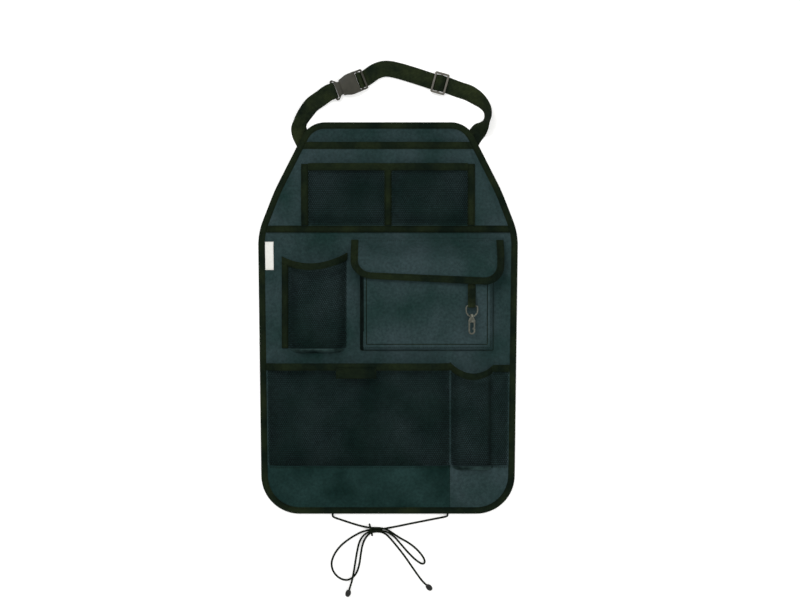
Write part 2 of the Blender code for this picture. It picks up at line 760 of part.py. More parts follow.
def make_flap():
    outer, inner = flap_path(0.0), flap_path(TAPE_WIDTH)
    top_steps = spread(FLAP_RIGHT - TAPE_WIDTH, FLAP_LEFT + TAPE_WIDTH, 8)[1:-1]
    seam = [Vector((x, FLAP_TOP)) for x in top_steps]
    heights = [mix(FLAP_BOTTOM, FLAP_POCKET_TOP, 0.66), FLAP_POCKET_TOP] + flap_side()[:0:-1]
    places = spread(FLAP_LEFT + 2.2 * TAPE_WIDTH, FLAP_RIGHT - 2.2 * TAPE_WIDTH, 8)
    middle = [Vector((x, y)) for y in heights for x in places]
    rim = inner + seam
    edges = [(i, (i + 1) % len(rim)) for i in range(len(rim))]
    spots, _, faces = delaunay_2d_cdt(rim + middle, edges, [list(range(len(rim)))], 1, 1e-7)[:3]
    bm = bmesh.new()
    borders = []
    for height in (0.0, FABRIC):
        body = [bm.verts.new(flap_point(p.x, p.y, height)) for p in spots]
        band = [bm.verts.new(flap_point(p.x, p.y, height)) for p in outer]
        for face in faces:
            bm.faces.new([body[i] for i in face])
        for here in range(len(outer) - 1):
            add_face(bm, body[here], band[here], band[here + 1], body[here + 1])
        borders.append(band + body[len(inner) - 1:len(rim)] + body[:1])
    low, top = borders
    for here in range(len(low)):
        after = (here + 1) % len(low)
        add_face(bm, low[here], low[after], top[after], top[here])
    add_mesh("flap", bm, "fabric")
    stations = []
    for edge, back in zip(outer[1:-1], inner[1:-1]):
        edge_point, back_point = flap_point(edge.x, edge.y, 0.0), flap_point(back.x, back.y, 0.0)
        ups = [flap_point(p.x, p.y, 1.0) - flap_point(p.x, p.y, 0.0) for p in (edge, back)]
        stations.append(hem_section(edge_point, back_point, ups[0], ups[1], FABRIC + GAP))
    add_sweep("flap_binding", stations, "binding")


def make_fasteners():
    """The touch-fastener pair that keeps the flap closed, one strip on each sheet."""
    left = mix(FLAP_POCKET_LEFT, FLAP_POCKET_RIGHT, 0.5) - FASTENER_LENGTH / 2 - 0.010
    heights = (FLAP_POCKET_TOP - 0.004 - FASTENER_WIDTH, FLAP_POCKET_TOP - 0.004)
    columns = (left, left + FASTENER_LENGTH)
    for name, height in (("fastener_loop_strip", 0.0), ("fastener_hook_strip", FASTENER + GAP)):
        rows = [[Vector((x, y, on_flap_pocket(y) + height)) for x in columns] for y in heights]
        add_skin(name, Cloth(rows, FASTENER), "fastener")


# Lower pockets

BAND_BOTTOM = -HALF_LENGTH + BOUND_INSET


def lower_low(x, y):
    """Height of the lower pocket's front, fabric below and net above, sewn down right of the seam."""
    edge = -half_width(y)
    rise = smooth((y - BAND_BOTTOM) / 0.055)
    return on_panel(x, y) + LOWER_DEPTH * rise * hump(x, edge, SEAM_X, LOWER_RAMP, LOWER_RAMP)


def lower_columns(y):
    edge = -half_width(y)
    columns = spread(edge, edge + LOWER_RAMP, 4)
    columns += spread(edge + LOWER_RAMP, SEAM_X - LOWER_RAMP, 8)[1:]
    return columns + spread(SEAM_X - LOWER_RAMP, SEAM_X - GAP, 4)[1:]


def make_lower_band():
    corner = BOTTOM_RADIUS - BOUND_INSET
    heights = [BAND_BOTTOM + corner * (1 - math.cos(math.radians(angle))) for angle in (0, 18, 36, 54, 72, 90)]
    heights += [NET_SEAM_Y - GAP]
    rows = []
    for y in heights:
        edge = half_width(y)
        columns = spread(-edge, LOWER_RAMP - edge, 4) + spread(LOWER_RAMP - edge, SEAM_X - LOWER_RAMP, 5)[1:]
        columns += spread(SEAM_X - LOWER_RAMP, SEAM_X, 4)[1:] + spread(SEAM_X, edge - 0.006, 2)[1:] + [edge]
        rows.append([Vector((x, y, lower_low(x, y))) for x in columns])
    add_skin("lower_band", Cloth(rows, FABRIC), "fabric")


def make_lower_net():
    heights = spread(NET_SEAM_Y, LOWER_TOP - TAPE_WIDTH, 7) + [LOWER_TOP]
    rows = [[Vector((x, y, lower_low(x, y))) for x in lower_columns(y)] for y in heights]
    cloth = Cloth(rows, NET)
    last = len(rows[0]) - 1
    add_skin("lower_net", cloth, "net", cells(range(0, len(rows) - 2), range(4, last - 4)))
    add_hem("lower_net_hem", cloth, range(last + 1))
    top = LOWER_TOP - TAB_TOP_DROP
    lift = FABRIC + GAP + TAPE + GAP
    tab = [
        [Vector((x, y, lower_low(x, y) + lift)) for x in (TAB_X - TAB_LENGTH / 2, TAB_X + TAB_LENGTH / 2)]
        for y in (top - TAB_WIDTH, top)
    ]
    add_skin("closure_tab", Cloth(tab, TAB_THICKNESS), "binding")


def make_corner_pocket():
    left = SEAM_X + GAP
    ramp_end = left + CORNER_RAMP
    rows = []
    length = CORNER_TOP_LEFT - NET_SEAM_Y
    risen, hem_foot = BASE_RISE / length, 1 - TAPE_WIDTH / length
    for share in spread(0, risen, 2) + spread(risen, hem_foot, 5)[1:] + [1.0]:
        y_middle = mix(NET_SEAM_Y, CORNER_TOP_RIGHT, share)
        right = half_width(y_middle)
        columns = spread(left, ramp_end, 4) + spread(ramp_end, PLEAT_X - CORNER_RAMP * 0.7, 2)[1:]
        columns += spread(PLEAT_X - CORNER_RAMP * 0.7, PLEAT_X, 3)[1:]
        columns += [mix(PLEAT_X, right, share) for share in (0.26, 0.61, 1.0)]
        row = []
        for x in columns:
            u = clamp((x - left) / (PLEAT_X - left))
            top = mix(CORNER_TOP_LEFT, CORNER_TOP_RIGHT, u) - CORNER_SAG * 4 * u * (1 - u)
            y = mix(NET_SEAM_Y, top, share)
            opened = mix(BASE_SHARE, 1.0, smooth((y - NET_SEAM_Y) / BASE_RISE))
            main = hump(x, left, PLEAT_X, CORNER_RAMP, CORNER_RAMP * 0.7)
            side = hump(x, PLEAT_X - CORNER_RAMP * 0.7, right, CORNER_RAMP * 0.7, right - PLEAT_X)
            bulge = max(main, side * 0.30)
            row.append(Vector((x, y, on_panel(x, y) + CORNER_DEPTH * opened * bulge)))
        rows.append(row)
    cloth = Cloth(rows, NET)
    last = len(rows[0]) - 1
    add_skin("corner_net", cloth, "net", cells(range(2, len(rows) - 2), range(3, last - 5)))
    add_hem("corner_net_hem", cloth, range(last + 1))
    make_base("corner_net_base", cloth, range(1, last - 2))


# Side label

def make_label():
    left = -half_width(LABEL_Y) + GAP
    columns = (left, left + RIM_RAMP, left + LABEL_WIDTH)
    rows = []
    for y in spread(LABEL_Y - LABEL_LENGTH / 2, LABEL_Y + LABEL_LENGTH / 2, 2):
        shift = -half_width(y) + GAP - left
        rows.append([Vector((x + shift, y, on_panel(x + shift, y))) for x in columns])
    add_skin("side_label", Cloth(rows, LABEL_THICKNESS), "label")


# Straps

class Course:
    """A strap's way in plan, with its arc length, heading and tilt."""

    def __init__(self, points):
        self.points = smooth_course(points, 8)
        self.lengths = [0.0]
        for start, end in zip(self.points, self.points[1:]):
            self.lengths.append(self.lengths[-1] + flat(end - start).length)

    def length_at(self, place):
        """Arc length of the course's point nearest to a place."""
        nearest = min(range(len(self.points)), key=lambda i: (flat(self.points[i]) - flat(place)).length)
        return self.lengths[nearest]

    def at(self, length):
        """Place, heading and tilt in radians at an arc length, which may lie before the start."""
        index = 0
        while index < len(self.lengths) - 2 and self.lengths[index + 1] < length:
            index += 1
        start, end = self.points[index], self.points[index + 1]
        share = (length - self.lengths[index]) / (self.lengths[index + 1] - self.lengths[index])
        tilt = mix(start[2], end[2], clamp(share))
        before = self.points[max(index - 1, 0)]
        after = self.points[min(index + 2, len(self.points) - 1)]
        heading = (flat(end) - flat(start)) if length < 0 else (flat(after) - flat(before))
        return flat(start).lerp(flat(end), share), heading.normalized(), math.radians(max(tilt, 0.0))


def add_strap(name, course, stations, side):
    """Webbing along a course, through stations of arc length and height, its left edge up for a side of 1."""
    frames = []
    for length, height in stations:
        place, heading, tilt = course.at(length)
        across = Vector((-heading.y, heading.x, 0)) * math.cos(tilt) + Vector((0, 0, side * math.sin(tilt)))
        standing = WEBBING_WIDTH / 2 * math.sin(tilt)
        frames.append((Vector((place.x, place.y, height + standing)), across))
    sections = []
    for index, (place, across) in enumerate(frames):
        before = frames[max(index - 1, 0)][0]
        after = frames[min(index + 1, len(frames) - 1)][0]
        along = (after - before).normalized()
        up = along.cross(across).normalized() * (WEBBING / 2)
        out = across * (WEBBING_WIDTH / 2)
        sections.append([place - out - up, place + out - up, place + out + up, place - out + up])
    add_sweep(name, sections, "webbing")


def wrap(start, end, radius, centre=0.0, steps=6):
    """Stations round a bar, between angles in degrees from straight ahead in the length-height plane."""
    angles = [math.radians(a) for a in spread(start, end, steps)]
    return [(centre + radius * math.cos(a), HARDWARE_Z + radius * math.sin(a)) for a in angles]


WRAP_RADIUS = math.hypot(BAR, BAR) / 2 + GAP + WEBBING / 2 + 0.0001
LAYER = WEBBING + GAP
UNDER_BAR = HARDWARE_Z - BAR / 2 - GAP - WEBBING / 2 - 0.0001
UNDER_LAYER = UNDER_BAR - LAYER
FREE_Z = WEBBING / 2 + GAP
SEWN_REACH = 0.035


def resting(course, lengths):
    """Stations of a strap lying on the floor, its sewn end lowest."""
    sewn = course.lengths[-1] - SEWN_REACH
    return [(length, WEBBING / 2 + (GAP if length < sewn else 0.0)) for length in lengths]


def turned(x, y, turn, along):
    """A point on the long axis of a fitting that lies turned in plan."""
    return x + along * math.cos(turn), y + along * math.sin(turn), 0


PLUG_BAR = PLUG_END + BAR / 2
SOCKET_BAR = SOCKET_END - BAR - 0.0040 - BAR / 2


def make_left_strap():
    route = [turned(BUCKLE_X, BUCKLE_Y, BUCKLE_TURN, PLUG_BAR - reach) for reach in (0.0, 0.010)]
    course = Course(route + list(LEFT_ROUTE))
    lower = [(0.034, FREE_Z), (0.022, FREE_Z + 0.0004), (0.010, FREE_Z + 0.0012)]
    upper = [(0.009, HARDWARE_Z + 0.0012), (0.014, HARDWARE_Z - 0.0008), (0.022, FREE_Z + LAYER + 0.0012)]
    upper += [(0.034, FREE_Z + LAYER + 0.0004), (0.040, FREE_Z + 0.0008)]
    free = resting(course, spread(0.048, course.lengths[-1], 12))
    round_bar = [(-length, height) for length, height in wrap(-110, 110, WRAP_RADIUS, 0.0, 8)]
    add_strap("strap_left", course, lower + round_bar + upper + free, -1.0)


def make_long_strap():
    route = [turned(BUCKLE_X, BUCKLE_Y, BUCKLE_TURN, SOCKET_BAR + reach) for reach in (0.0, 0.010)]
    route += list(MIDDLE_ROUTE)
    route += [turned(ADJUSTER_X, ADJUSTER_Y, ADJUSTER_TURN, reach) for reach in (-0.014, 0.0, 0.014)]
    course = Course(route + list(RIGHT_ROUTE))
    middle = course.length_at((ADJUSTER_X, ADJUSTER_Y))
    bar = ADJUSTER_LENGTH / 2 - BAR / 2
    over = WRAP_RADIUS + LAYER
    sewn_end = [(middle + length, height) for length, height in wrap(190, -90, WRAP_RADIUS, 0.0, 9)]
    sewn_end += [(middle - 0.004, UNDER_LAYER + 0.0002)]
    lower = [(length, UNDER_LAYER) for length in spread(middle - bar + 0.003, 0.0060, 9)]
    lower += [(0.0032, UNDER_LAYER + 0.0003)]
    round_bar = wrap(-90, -360, WRAP_RADIUS, 0.0, 9)
    rise = [(0.0035, HARDWARE_Z - 0.0010), (0.0042, UNDER_BAR + 0.0003)]
    upper = [(length, UNDER_BAR) for length in spread(0.0062, middle - bar + 0.0006, 9)]
    slot = bar - BAR / 2 - GAP - WEBBING / 2
    climb = [(middle - slot + 0.0002, UNDER_BAR + 0.0008), (middle - slot + 0.0011, HARDWARE_Z + 0.0006)]
    hill = [(middle + length, height) for length, height in wrap(150, 30, over, 0.0, 5)]
    fall = [(middle + slot - 0.0011, HARDWARE_Z + 0.0006), (middle + slot - 0.0002, UNDER_BAR + 0.0008)]
    leave = [(middle + bar - 0.0006, UNDER_BAR), (middle + bar + 0.004, UNDER_BAR)]
    free = resting(course, spread(middle + bar + 0.014, course.lengths[-1], 18))
    stations = sewn_end + lower + round_bar + rise + upper + climb + hill + fall + leave + free
    add_strap("strap_long", course, stations, 1.0)


# Buckle and slide adjuster

def add_plate(name, outline, low, high, kind):
    """An outline in plan, counter-clockwise, raised from low to high."""
    bm = bmesh.new()
    bottom = [bm.verts.new((x, y, low)) for x, y in outline]
    top = [bm.verts.new((x, y, high)) for x, y in outline]
    bm.faces.new(bottom)
    bm.faces.new(top)
    for here in range(len(outline)):
        after = (here + 1) % len(outline)
        bm.faces.new((bottom[here], bottom[after], top[after], top[here]))
    return add_mesh(name, bm, kind, 30.0)


def box_outline(left, right, bottom, top):
    return [(left, bottom), (right, bottom), (right, top), (left, top)]


def join_shape(target, shape, operation):
    """Cuts a shape from a piece or joins it on, and leaves the shape out of the build."""
    shape.hide_render = True
    shape.display_type = "WIRE"
    modifier = target.modifiers.new(shape.name, "BOOLEAN")
    modifier.object = shape
    modifier.operation = operation
    modifier.solver = "EXACT"
    shape.parent = target


def cut_box(target, left, right, bottom, top, low, high):
    name = f"{target.name}_cut{len(target.modifiers)}"
    join_shape(target, add_plate(name, box_outline(left, right, bottom, top), low, high, "plastic"), "DIFFERENCE")


def place(piece, x, y, turn):
    piece.location = (x, y, HARDWARE_Z)
    piece.rotation_euler = (0, 0, turn)


def mirrored(points):
    """A closed outline from its lower half, given left to right."""
    return points + [(x, -y) for x, y in reversed(points)]


def make_socket():
    half, mouth, deep = BUCKLE_WIDTH / 2, MOUTH_WIDTH / 2, BUCKLE_HEIGHT / 2
    outline = mirrored([
        (SOCKET_MOUTH, -mouth), (SOCKET_MOUTH + 0.0040, -mouth - 0.0008), (SOCKET_MOUTH + 0.0110, -half + 0.0006),
        (SOCKET_MOUTH + 0.0160, -half), (SOCKET_END - 0.0018, -half), (SOCKET_END, -half + 0.0018),
    ])
    socket = add_plate("buckle_socket", outline, -deep, deep, "plastic")
    inside = mouth - BUCKLE_WALL
    over = SOCKET_END + 0.001
    floor, roof = -deep + BUCKLE_WALL, deep - BUCKLE_WALL
    cut_box(socket, SOCKET_MOUTH - 0.001, SOCKET_BODY_END - BUCKLE_WALL, -inside, inside, floor, roof)
    for side in (-1, 1):
        ends = sorted((side * (inside - 0.001), side * (half + 0.001)))
        cut_box(socket, LATCH_START, LATCH_END, ends[0], ends[1], floor, roof)
        levels = sorted((side * BAR / 2, side * (deep + 0.001)))
        cut_box(socket, SOCKET_BODY_END, over, -half - 0.001, half + 0.001, levels[0], levels[1])
    slot = SLOT_WIDTH / 2
    cut_box(socket, SOCKET_BODY_END, SOCKET_BAR - BAR / 2, -slot, slot, -deep, deep)
    cut_box(socket, SOCKET_BAR + BAR / 2, SOCKET_END - BAR, -slot, slot, -deep, deep)
    place(socket, BUCKLE_X, BUCKLE_Y, BUCKLE_TURN)


def make_plug():
    half, slot = BUCKLE_WIDTH / 2, SLOT_WIDTH / 2
    arm = MOUTH_WIDTH / 2 - BUCKLE_WALL - GAP
    neck = SOCKET_MOUTH - GAP
    slot_end = PLUG_END + BAR + 0.0026
    latch_start, latch_end = LATCH_START + GAP, LATCH_END - GAP
    lower = [
        (PLUG_END, -half + 0.0015), (PLUG_END + 0.0015, -half), (slot_end - 0.0010, -half),
        (slot_end + 0.0012, -half + 0.0020), (neck - 0.0030, -arm), (latch_start, -arm),
        (latch_start, -half + 0.0012), (latch_start + 0.0060, -half + 0.0010), (latch_end, -arm + 0.0004),
        (latch_end + 0.0010, -arm + PRONG_WIDTH * 0.6), (latch_end - 0.0010, -arm + PRONG_WIDTH),
        (neck + 0.0020, -arm + PRONG_WIDTH), (neck + 0.0010, -arm + PRONG_WIDTH + 0.0010), (neck + 0.0010, -0.0018),
        (latch_end, -0.0014),
    ]
    thick = PLUG_THICKNESS / 2
    plug = add_plate("buckle_plug", mirrored(lower), -thick, thick, "plastic")
    cut_box(plug, PLUG_END + BAR, slot_end, -slot, slot, -thick - 0.001, thick + 0.001)
    for side in (-1, 1):
        levels = sorted((side * BAR / 2, side * (thick + 0.001)))
        cut_box(plug, PLUG_END - 0.001, slot_end, -half - 0.001, half + 0.001, levels[0], levels[1])
    place(plug, BUCKLE_X, BUCKLE_Y, BUCKLE_TURN)


def make_adjuster():
    half, wide = ADJUSTER_LENGTH / 2, ADJUSTER_WIDTH / 2
    round_off = 0.0016
    lower = [(-half, -wide + round_off), (-half + round_off, -wide)]
    lower += [(half - round_off, -wide), (half, -wide + round_off)]
    outline = mirrored(lower)
    frame = add_plate("slide_adjuster", outline, -BAR / 2, BAR / 2, "plastic")
    slot = SLOT_WIDTH / 2
    for side in (-1, 1):
        ends = sorted((side * BAR / 2, side * (half - BAR)))
        cut_box(frame, ends[0], ends[1], -slot, slot, -BAR, BAR)
    place(frame, ADJUSTER_X, ADJUSTER_Y, ADJUSTER_TURN)


# Key strap, eye, snap hook and gate

KEY_LAYER_Z = on_flap_pocket(FLAP_BOTTOM) + WEBBING / 2
KEY_WRAP = EYE_WIRE / 2 + GAP + WEBBING / 2
HOOK_Z = KEY_LAYER_Z + KEY_WRAP
BOSS_TOP = EYE_Y + EYE_WIRE / 2 - EYE_LENGTH + BOSS_LENGTH
HOOK_TOP = BOSS_TOP - BOSS_LENGTH - GAP


def make_key_strap():
    """Folded webbing round the eye's bar, its upper layer sewn down above the hook."""
    path = [(y, on_flap_pocket(y) + WEBBING / 2) for y in spread(KEY_STRAP_TOP, FLAP_BOTTOM, 2)]
    path += [(KEY_STRAP_END, KEY_LAYER_Z), (EYE_Y + 0.0030, KEY_LAYER_Z)]
    for angle in spread(-90, -270, 8):
        turn = math.radians(angle)
        path.append((EYE_Y + KEY_WRAP * math.cos(turn), HOOK_Z + KEY_WRAP * math.sin(turn)))
    path += [(EYE_Y + 0.0030, HOOK_Z + KEY_WRAP * 0.9), (EYE_Y + 0.0075, KEY_LAYER_Z + LAYER + 0.0004)]
    path += [(KEY_STRAP_END, KEY_LAYER_Z + LAYER)]
    sections = []
    across = Vector((KEY_STRAP_WIDTH / 2, 0, 0))
    for index, (y, z) in enumerate(path):
        before, after = path[max(index - 1, 0)], path[min(index + 1, len(path) - 1)]
        along = Vector((0, after[0] - before[0], after[1] - before[1])).normalized()
        up = along.cross(across).normalized() * (WEBBING / 2)
        middle = Vector((KEY_X, y, z))
        left, right = middle - across, middle + across
        sections.append([left - up, right - up, right + up, left + up])
    add_sweep("key_strap", sections, "webbing")


def add_turned(name, profile, sides, kind):
    """A solid turned about its own Y axis, from a profile of radius and height."""
    bm = bmesh.new()
    rings = []
    for radius, height in profile:
        ring = []
        for side in range(sides):
            turn = 2 * math.pi * side / sides
            ring.append(bm.verts.new((radius * math.cos(turn), height, radius * math.sin(turn))))
        rings.append(ring)
    for lower, upper in zip(rings, rings[1:]):
        for side in range(sides):
            after = (side + 1) % sides
            bm.faces.new((lower[side], lower[after], upper[after], upper[side]))
    bm.faces.new(rings[0])
    bm.faces.new(rings[-1])
    return add_mesh(name, bm, kind, 35.0)


def make_eye():
    """A wire eye with a flat top bar for the strap and a drilled boss for the hook's stem."""
    half = EYE_WIDTH / 2 - EYE_WIRE / 2
    boss_middle = BOSS_TOP - BOSS_LENGTH / 2 - EYE_Y
    right = [(0.0, 0.0), (half - 0.0024, 0.0), (half - 0.0007, -0.0008), (half, -0.0025), (half, -0.0065)]
    right += [(half - 0.0005, boss_middle + 0.0055), (half * 0.70, boss_middle + 0.0020)]
    right += [(half * 0.36, boss_middle)]
    loop = right + [(0.0, boss_middle)] + [(-x, y) for x, y in reversed(right[1:])]
    points = [Vector((x, y, 0)) for x, y in loop]
    sections = []
    for index, here in enumerate(points):
        along = (points[(index + 1) % len(points)] - points[index - 1]).normalized()
        across = Vector((along.y, -along.x, 0))
        ring = []
        for side in range(8):
            turn = 2 * math.pi * (side + 0.5) / 8
            ring.append(here + (across * math.cos(turn) + Vector((0, 0, math.sin(turn)))) * (EYE_WIRE / 2))
        sections.append(ring)
    eye = add_sweep("hook_eye", sections, "metal", closed=True)
    low = BOSS_TOP - BOSS_LENGTH - EYE_Y
    high = BOSS_TOP - EYE_Y
    radius = BOSS_DIAMETER / 2
    boss = add_turned("hook_eye_boss", [(radius, low), (radius, high)], 16, "metal")
    join_shape(eye, boss, "UNION")
    bore = STEM_DIAMETER / 2 + GAP
    hole = add_turned("hook_eye_bore", [(bore, low - 0.002), (bore, high + 0.002)], 16, "metal")
    join_shape(eye, hole, "DIFFERENCE")
    eye.location = (KEY_X, EYE_Y, HOOK_Z)


def round_points(x, y, radius, start, end, steps):
    """Points on a circle between two angles in degrees."""
    angles = [math.radians(a) for a in spread(start, end, steps)]
    return [(x + radius * math.cos(a), y + radius * math.sin(a)) for a in angles]


def make_hook():
    """A flat cast hook on a headed stem, with two ears for its gate."""
    half = HOOK_WIDTH / 2
    inner = half - HOOK_BAR
    turn_y = -HOOK_LENGTH + half
    nose = -HOOK_LENGTH + HOOK_NOSE
    ear = KNUCKLE_RADIUS + 0.0002
    outline = [(0.0028, 0.0), (-0.0028, 0.0), (-0.0036, -0.0010), (-half, -0.0050)]
    outline += round_points(0.0, turn_y, half, 180, 360, 10)
    outline += [(half, nose - 0.0006), (half - 0.0006, nose), (inner, nose)]
    outline += round_points(0.0, turn_y, inner, 360, 180, 8)
    outline += [(-inner, -0.0090), (-inner + 0.0012, -0.0078), (PIVOT_X - 0.0004, -0.0078)]
    outline += round_points(PIVOT_X, -PIVOT_DROP, ear, -80, 40, 5)
    outline += [(0.0036, -0.0010)]
    thick = HOOK_THICKNESS / 2
    hook = add_plate("hook_body", list(reversed(outline)), -thick, thick, "metal")
    stem_top = BOSS_LENGTH + 2 * GAP
    stem, head = STEM_DIAMETER / 2, HEAD_DIAMETER / 2
    profile = [(stem, -0.0020), (stem, stem_top), (head, stem_top), (head, stem_top + HEAD_LENGTH)]
    join_shape(hook, add_turned("hook_stem", profile, 16, "metal"), "UNION")
    room = GATE_THICKNESS / 2 + GAP
    slot = [(PIVOT_X - KNUCKLE_RADIUS - GAP, -0.0100), (0.0080, -0.0100), (0.0080, -0.0034)]
    slot += [(PIVOT_X - KNUCKLE_RADIUS - GAP, -0.0034)]
    join_shape(hook, add_plate("hook_slot", slot, -room, room, "metal"), "DIFFERENCE")
    bore = GATE_PIN / 2 + GAP
    hole = round_points(PIVOT_X, -PIVOT_DROP, bore, 0, 330, 11)
    join_shape(hook, add_plate("hook_pin_bore", hole, -thick - 0.001, thick + 0.001, "metal"), "DIFFERENCE")
    hook.location = (KEY_X, HOOK_TOP, HOOK_Z)


def make_gate():
    """The sprung gate, its tongue behind the hook's nose, with its origin on the pin."""
    nose = -HOOK_LENGTH + HOOK_NOSE + PIVOT_DROP
    inner = HOOK_WIDTH / 2 - HOOK_BAR - PIVOT_X
    right = HOOK_WIDTH / 2 - PIVOT_X - 0.0002
    left = right - 0.0020
    tongue = inner - GAP - 0.0013
    outline = round_points(0.0, 0.0, KNUCKLE_RADIUS, 0, 180, 8)
    outline += [(-KNUCKLE_RADIUS, -0.0010), (left, -0.0040), (left, nose + 0.0022), (tongue, nose + 0.0010)]
    outline += [(tongue, nose - 0.0014), (inner - GAP, nose - 0.0014), (inner - GAP, nose + GAP)]
    outline += [(right, nose + GAP)]
    thick = GATE_THICKNESS / 2
    gate = add_plate("hook_gate", outline, -thick, thick, "metal")
    hole = round_points(0.0, 0.0, GATE_PIN / 2 + GAP, 0, 330, 11)
    join_shape(gate, add_plate("gate_bore", hole, -thick - 0.001, thick + 0.001, "metal"), "DIFFERENCE")
    gate.location = (KEY_X + PIVOT_X, HOOK_TOP - PIVOT_DROP, HOOK_Z)
    rod = round_points(0.0, 0.0, GATE_PIN / 2, 0, 330, 11)
    pin = add_plate("hook_gate_pin", rod, -HOOK_THICKNESS / 2, HOOK_THICKNESS / 2, "metal")
    pin.location = gate.location


# Tie cords with moulded tips

EXIT_Z = BINDING_HEIGHT / 2
CORD_Z = CORD_DIAMETER / 2 + 0.00005
OVER_Z = CORD_Z + CORD_DIAMETER + GAP
KNOT_Z = OVER_Z + CORD_DIAMETER + GAP
TIP_Z = TIP_DIAMETER / 2 + 0.00005

LEFT_CORD = (
    (-0.0862, -0.3066, EXIT_Z), (-0.0860, -0.3092, CORD_Z), (-0.0826, -0.3112, CORD_Z), (-0.0735, -0.3143, CORD_Z),
    (-0.0606, -0.3186, CORD_Z), (-0.0477, -0.3226, CORD_Z), (-0.0375, -0.3251, 0.0020), (-0.0300, -0.3263, 0.0036),
    (-0.0225, -0.3268, OVER_Z), (-0.0140, -0.3270, OVER_Z), (-0.0060, -0.3282, OVER_Z), (0.0010, -0.3312, 0.0036),
    (0.0080, -0.3358, 0.0018), (0.0180, -0.3424, CORD_Z), (0.0310, -0.3498, CORD_Z), (0.0426, -0.3585, CORD_Z),
    (0.0516, -0.3682, CORD_Z), (0.0566, -0.3765, CORD_Z), (0.0568, -0.3818, CORD_Z), (0.0522, -0.3828, CORD_Z),
    (0.0426, -0.3764, CORD_Z), (0.0310, -0.3650, CORD_Z), (0.0205, -0.3530, CORD_Z), (0.0112, -0.3425, CORD_Z),
    (0.0035, -0.3362, 0.0030), (-0.0045, -0.3323, OVER_Z), (-0.0140, -0.3311, OVER_Z), (-0.0225, -0.3314, OVER_Z),
    (-0.0300, -0.3334, OVER_Z), (-0.0382, -0.3388, 0.0046), (-0.0444, -0.3490, 0.0030), (-0.0478, -0.3620, CORD_Z),
    (-0.0500, -0.3745, CORD_Z), (-0.0519, -0.3865, 0.0026), (-0.0538, -0.3975, OVER_Z), (-0.0560, -0.4085, OVER_Z),
    (-0.0585, -0.4170, 0.0045), (-0.0604, -0.4232, TIP_Z),
)
RIGHT_CORD = (
    (0.0929, -0.3066, EXIT_Z), (0.0922, -0.3086, CORD_Z), (0.0876, -0.3101, CORD_Z), (0.0748, -0.3126, CORD_Z),
    (0.0555, -0.3164, CORD_Z), (0.0361, -0.3202, CORD_Z), (0.0168, -0.3242, CORD_Z), (0.0050, -0.3264, CORD_Z),
    (-0.0060, -0.3283, CORD_Z), (-0.0150, -0.3292, CORD_Z), (-0.0240, -0.3297, CORD_Z), (-0.0330, -0.3312, CORD_Z),
    (-0.0440, -0.3348, CORD_Z), (-0.0606, -0.3445, CORD_Z), (-0.0735, -0.3550, CORD_Z), (-0.0826, -0.3668, CORD_Z),
    (-0.0877, -0.3798, CORD_Z), (-0.0866, -0.3916, CORD_Z), (-0.0800, -0.4017, CORD_Z), (-0.0710, -0.4073, CORD_Z),
    (-0.0625, -0.4080, CORD_Z), (-0.0548, -0.4040, CORD_Z), (-0.0485, -0.3960, CORD_Z), (-0.0448, -0.3840, CORD_Z),
    (-0.0425, -0.3690, CORD_Z), (-0.0400, -0.3550, CORD_Z), (-0.0356, -0.3440, CORD_Z), (-0.0290, -0.3362, CORD_Z),
    (-0.0210, -0.3333, CORD_Z), (-0.0120, -0.3334, CORD_Z), (-0.0045, -0.3362, CORD_Z), (0.0025, -0.3425, CORD_Z),
    (0.0140, -0.3560, CORD_Z), (0.0258, -0.3712, CORD_Z), (0.0374, -0.3878, CORD_Z), (0.0470, -0.4015, CORD_Z),
    (0.0535, -0.4098, 0.0030), (0.0598, -0.4157, TIP_Z),
)
KNOT_TURN = (
    (-0.0288, -0.3212, 0.0034), (-0.0284, -0.3228, 0.0064), (-0.0276, -0.3252, KNOT_Z), (-0.0265, -0.3297, KNOT_Z),
    (-0.0256, -0.3340, KNOT_Z), (-0.0250, -0.3366, 0.0072), (-0.0247, -0.3386, 0.0050),
)


def add_cord(name, route, step):
    """A round cord along a smooth curve through its route, with a point at about every step."""
    dense = [Vector((p.x, p.y, max(p.z, CORD_Z))) for p in smooth_course(route, 12)]
    kept = [dense[0]]
    for point in dense[1:-1]:
        if (point - kept[-1]).length >= step and (point - dense[-1]).length > step / 2:
            kept.append(point)
    kept.append(dense[-1])
    curve = bpy.data.curves.new(name, "CURVE")
    curve.dimensions = "3D"
    curve.bevel_depth = CORD_DIAMETER / 2
    curve.bevel_resolution = 2
    curve.use_fill_caps = True
    spline = curve.splines.new("POLY")
    spline.points.add(len(kept) - 1)
    for target, point in zip(spline.points, kept):
        target.co = (*point, 1)
    cord = bpy.data.objects.new(name, curve)
    cord.data.materials.append(finish_of("cord"))
    bpy.context.scene.collection.objects.link(cord)


def make_cord_tip(name, route):
    """A moulded oval bead, which lies on its side past the cord's end."""
    end, before = Vector(route[-1]), Vector(route[-2])
    along = flat(end - before).normalized()
    radius = TIP_DIAMETER / 2
    profile = [
        (radius * 0.46, GAP), (radius * 0.74, TIP_LENGTH * 0.14), (radius * 0.94, TIP_LENGTH * 0.32),
        (radius, TIP_LENGTH * 0.52), (radius * 0.90, TIP_LENGTH * 0.74), (radius * 0.66, TIP_LENGTH * 0.91),
        (radius * 0.32, TIP_LENGTH),
    ]
    tip = add_turned(name, profile, 12, "plastic")
    tip.location = end
    tip.rotation_euler = (0, 0, math.atan2(-along.x, along.y))


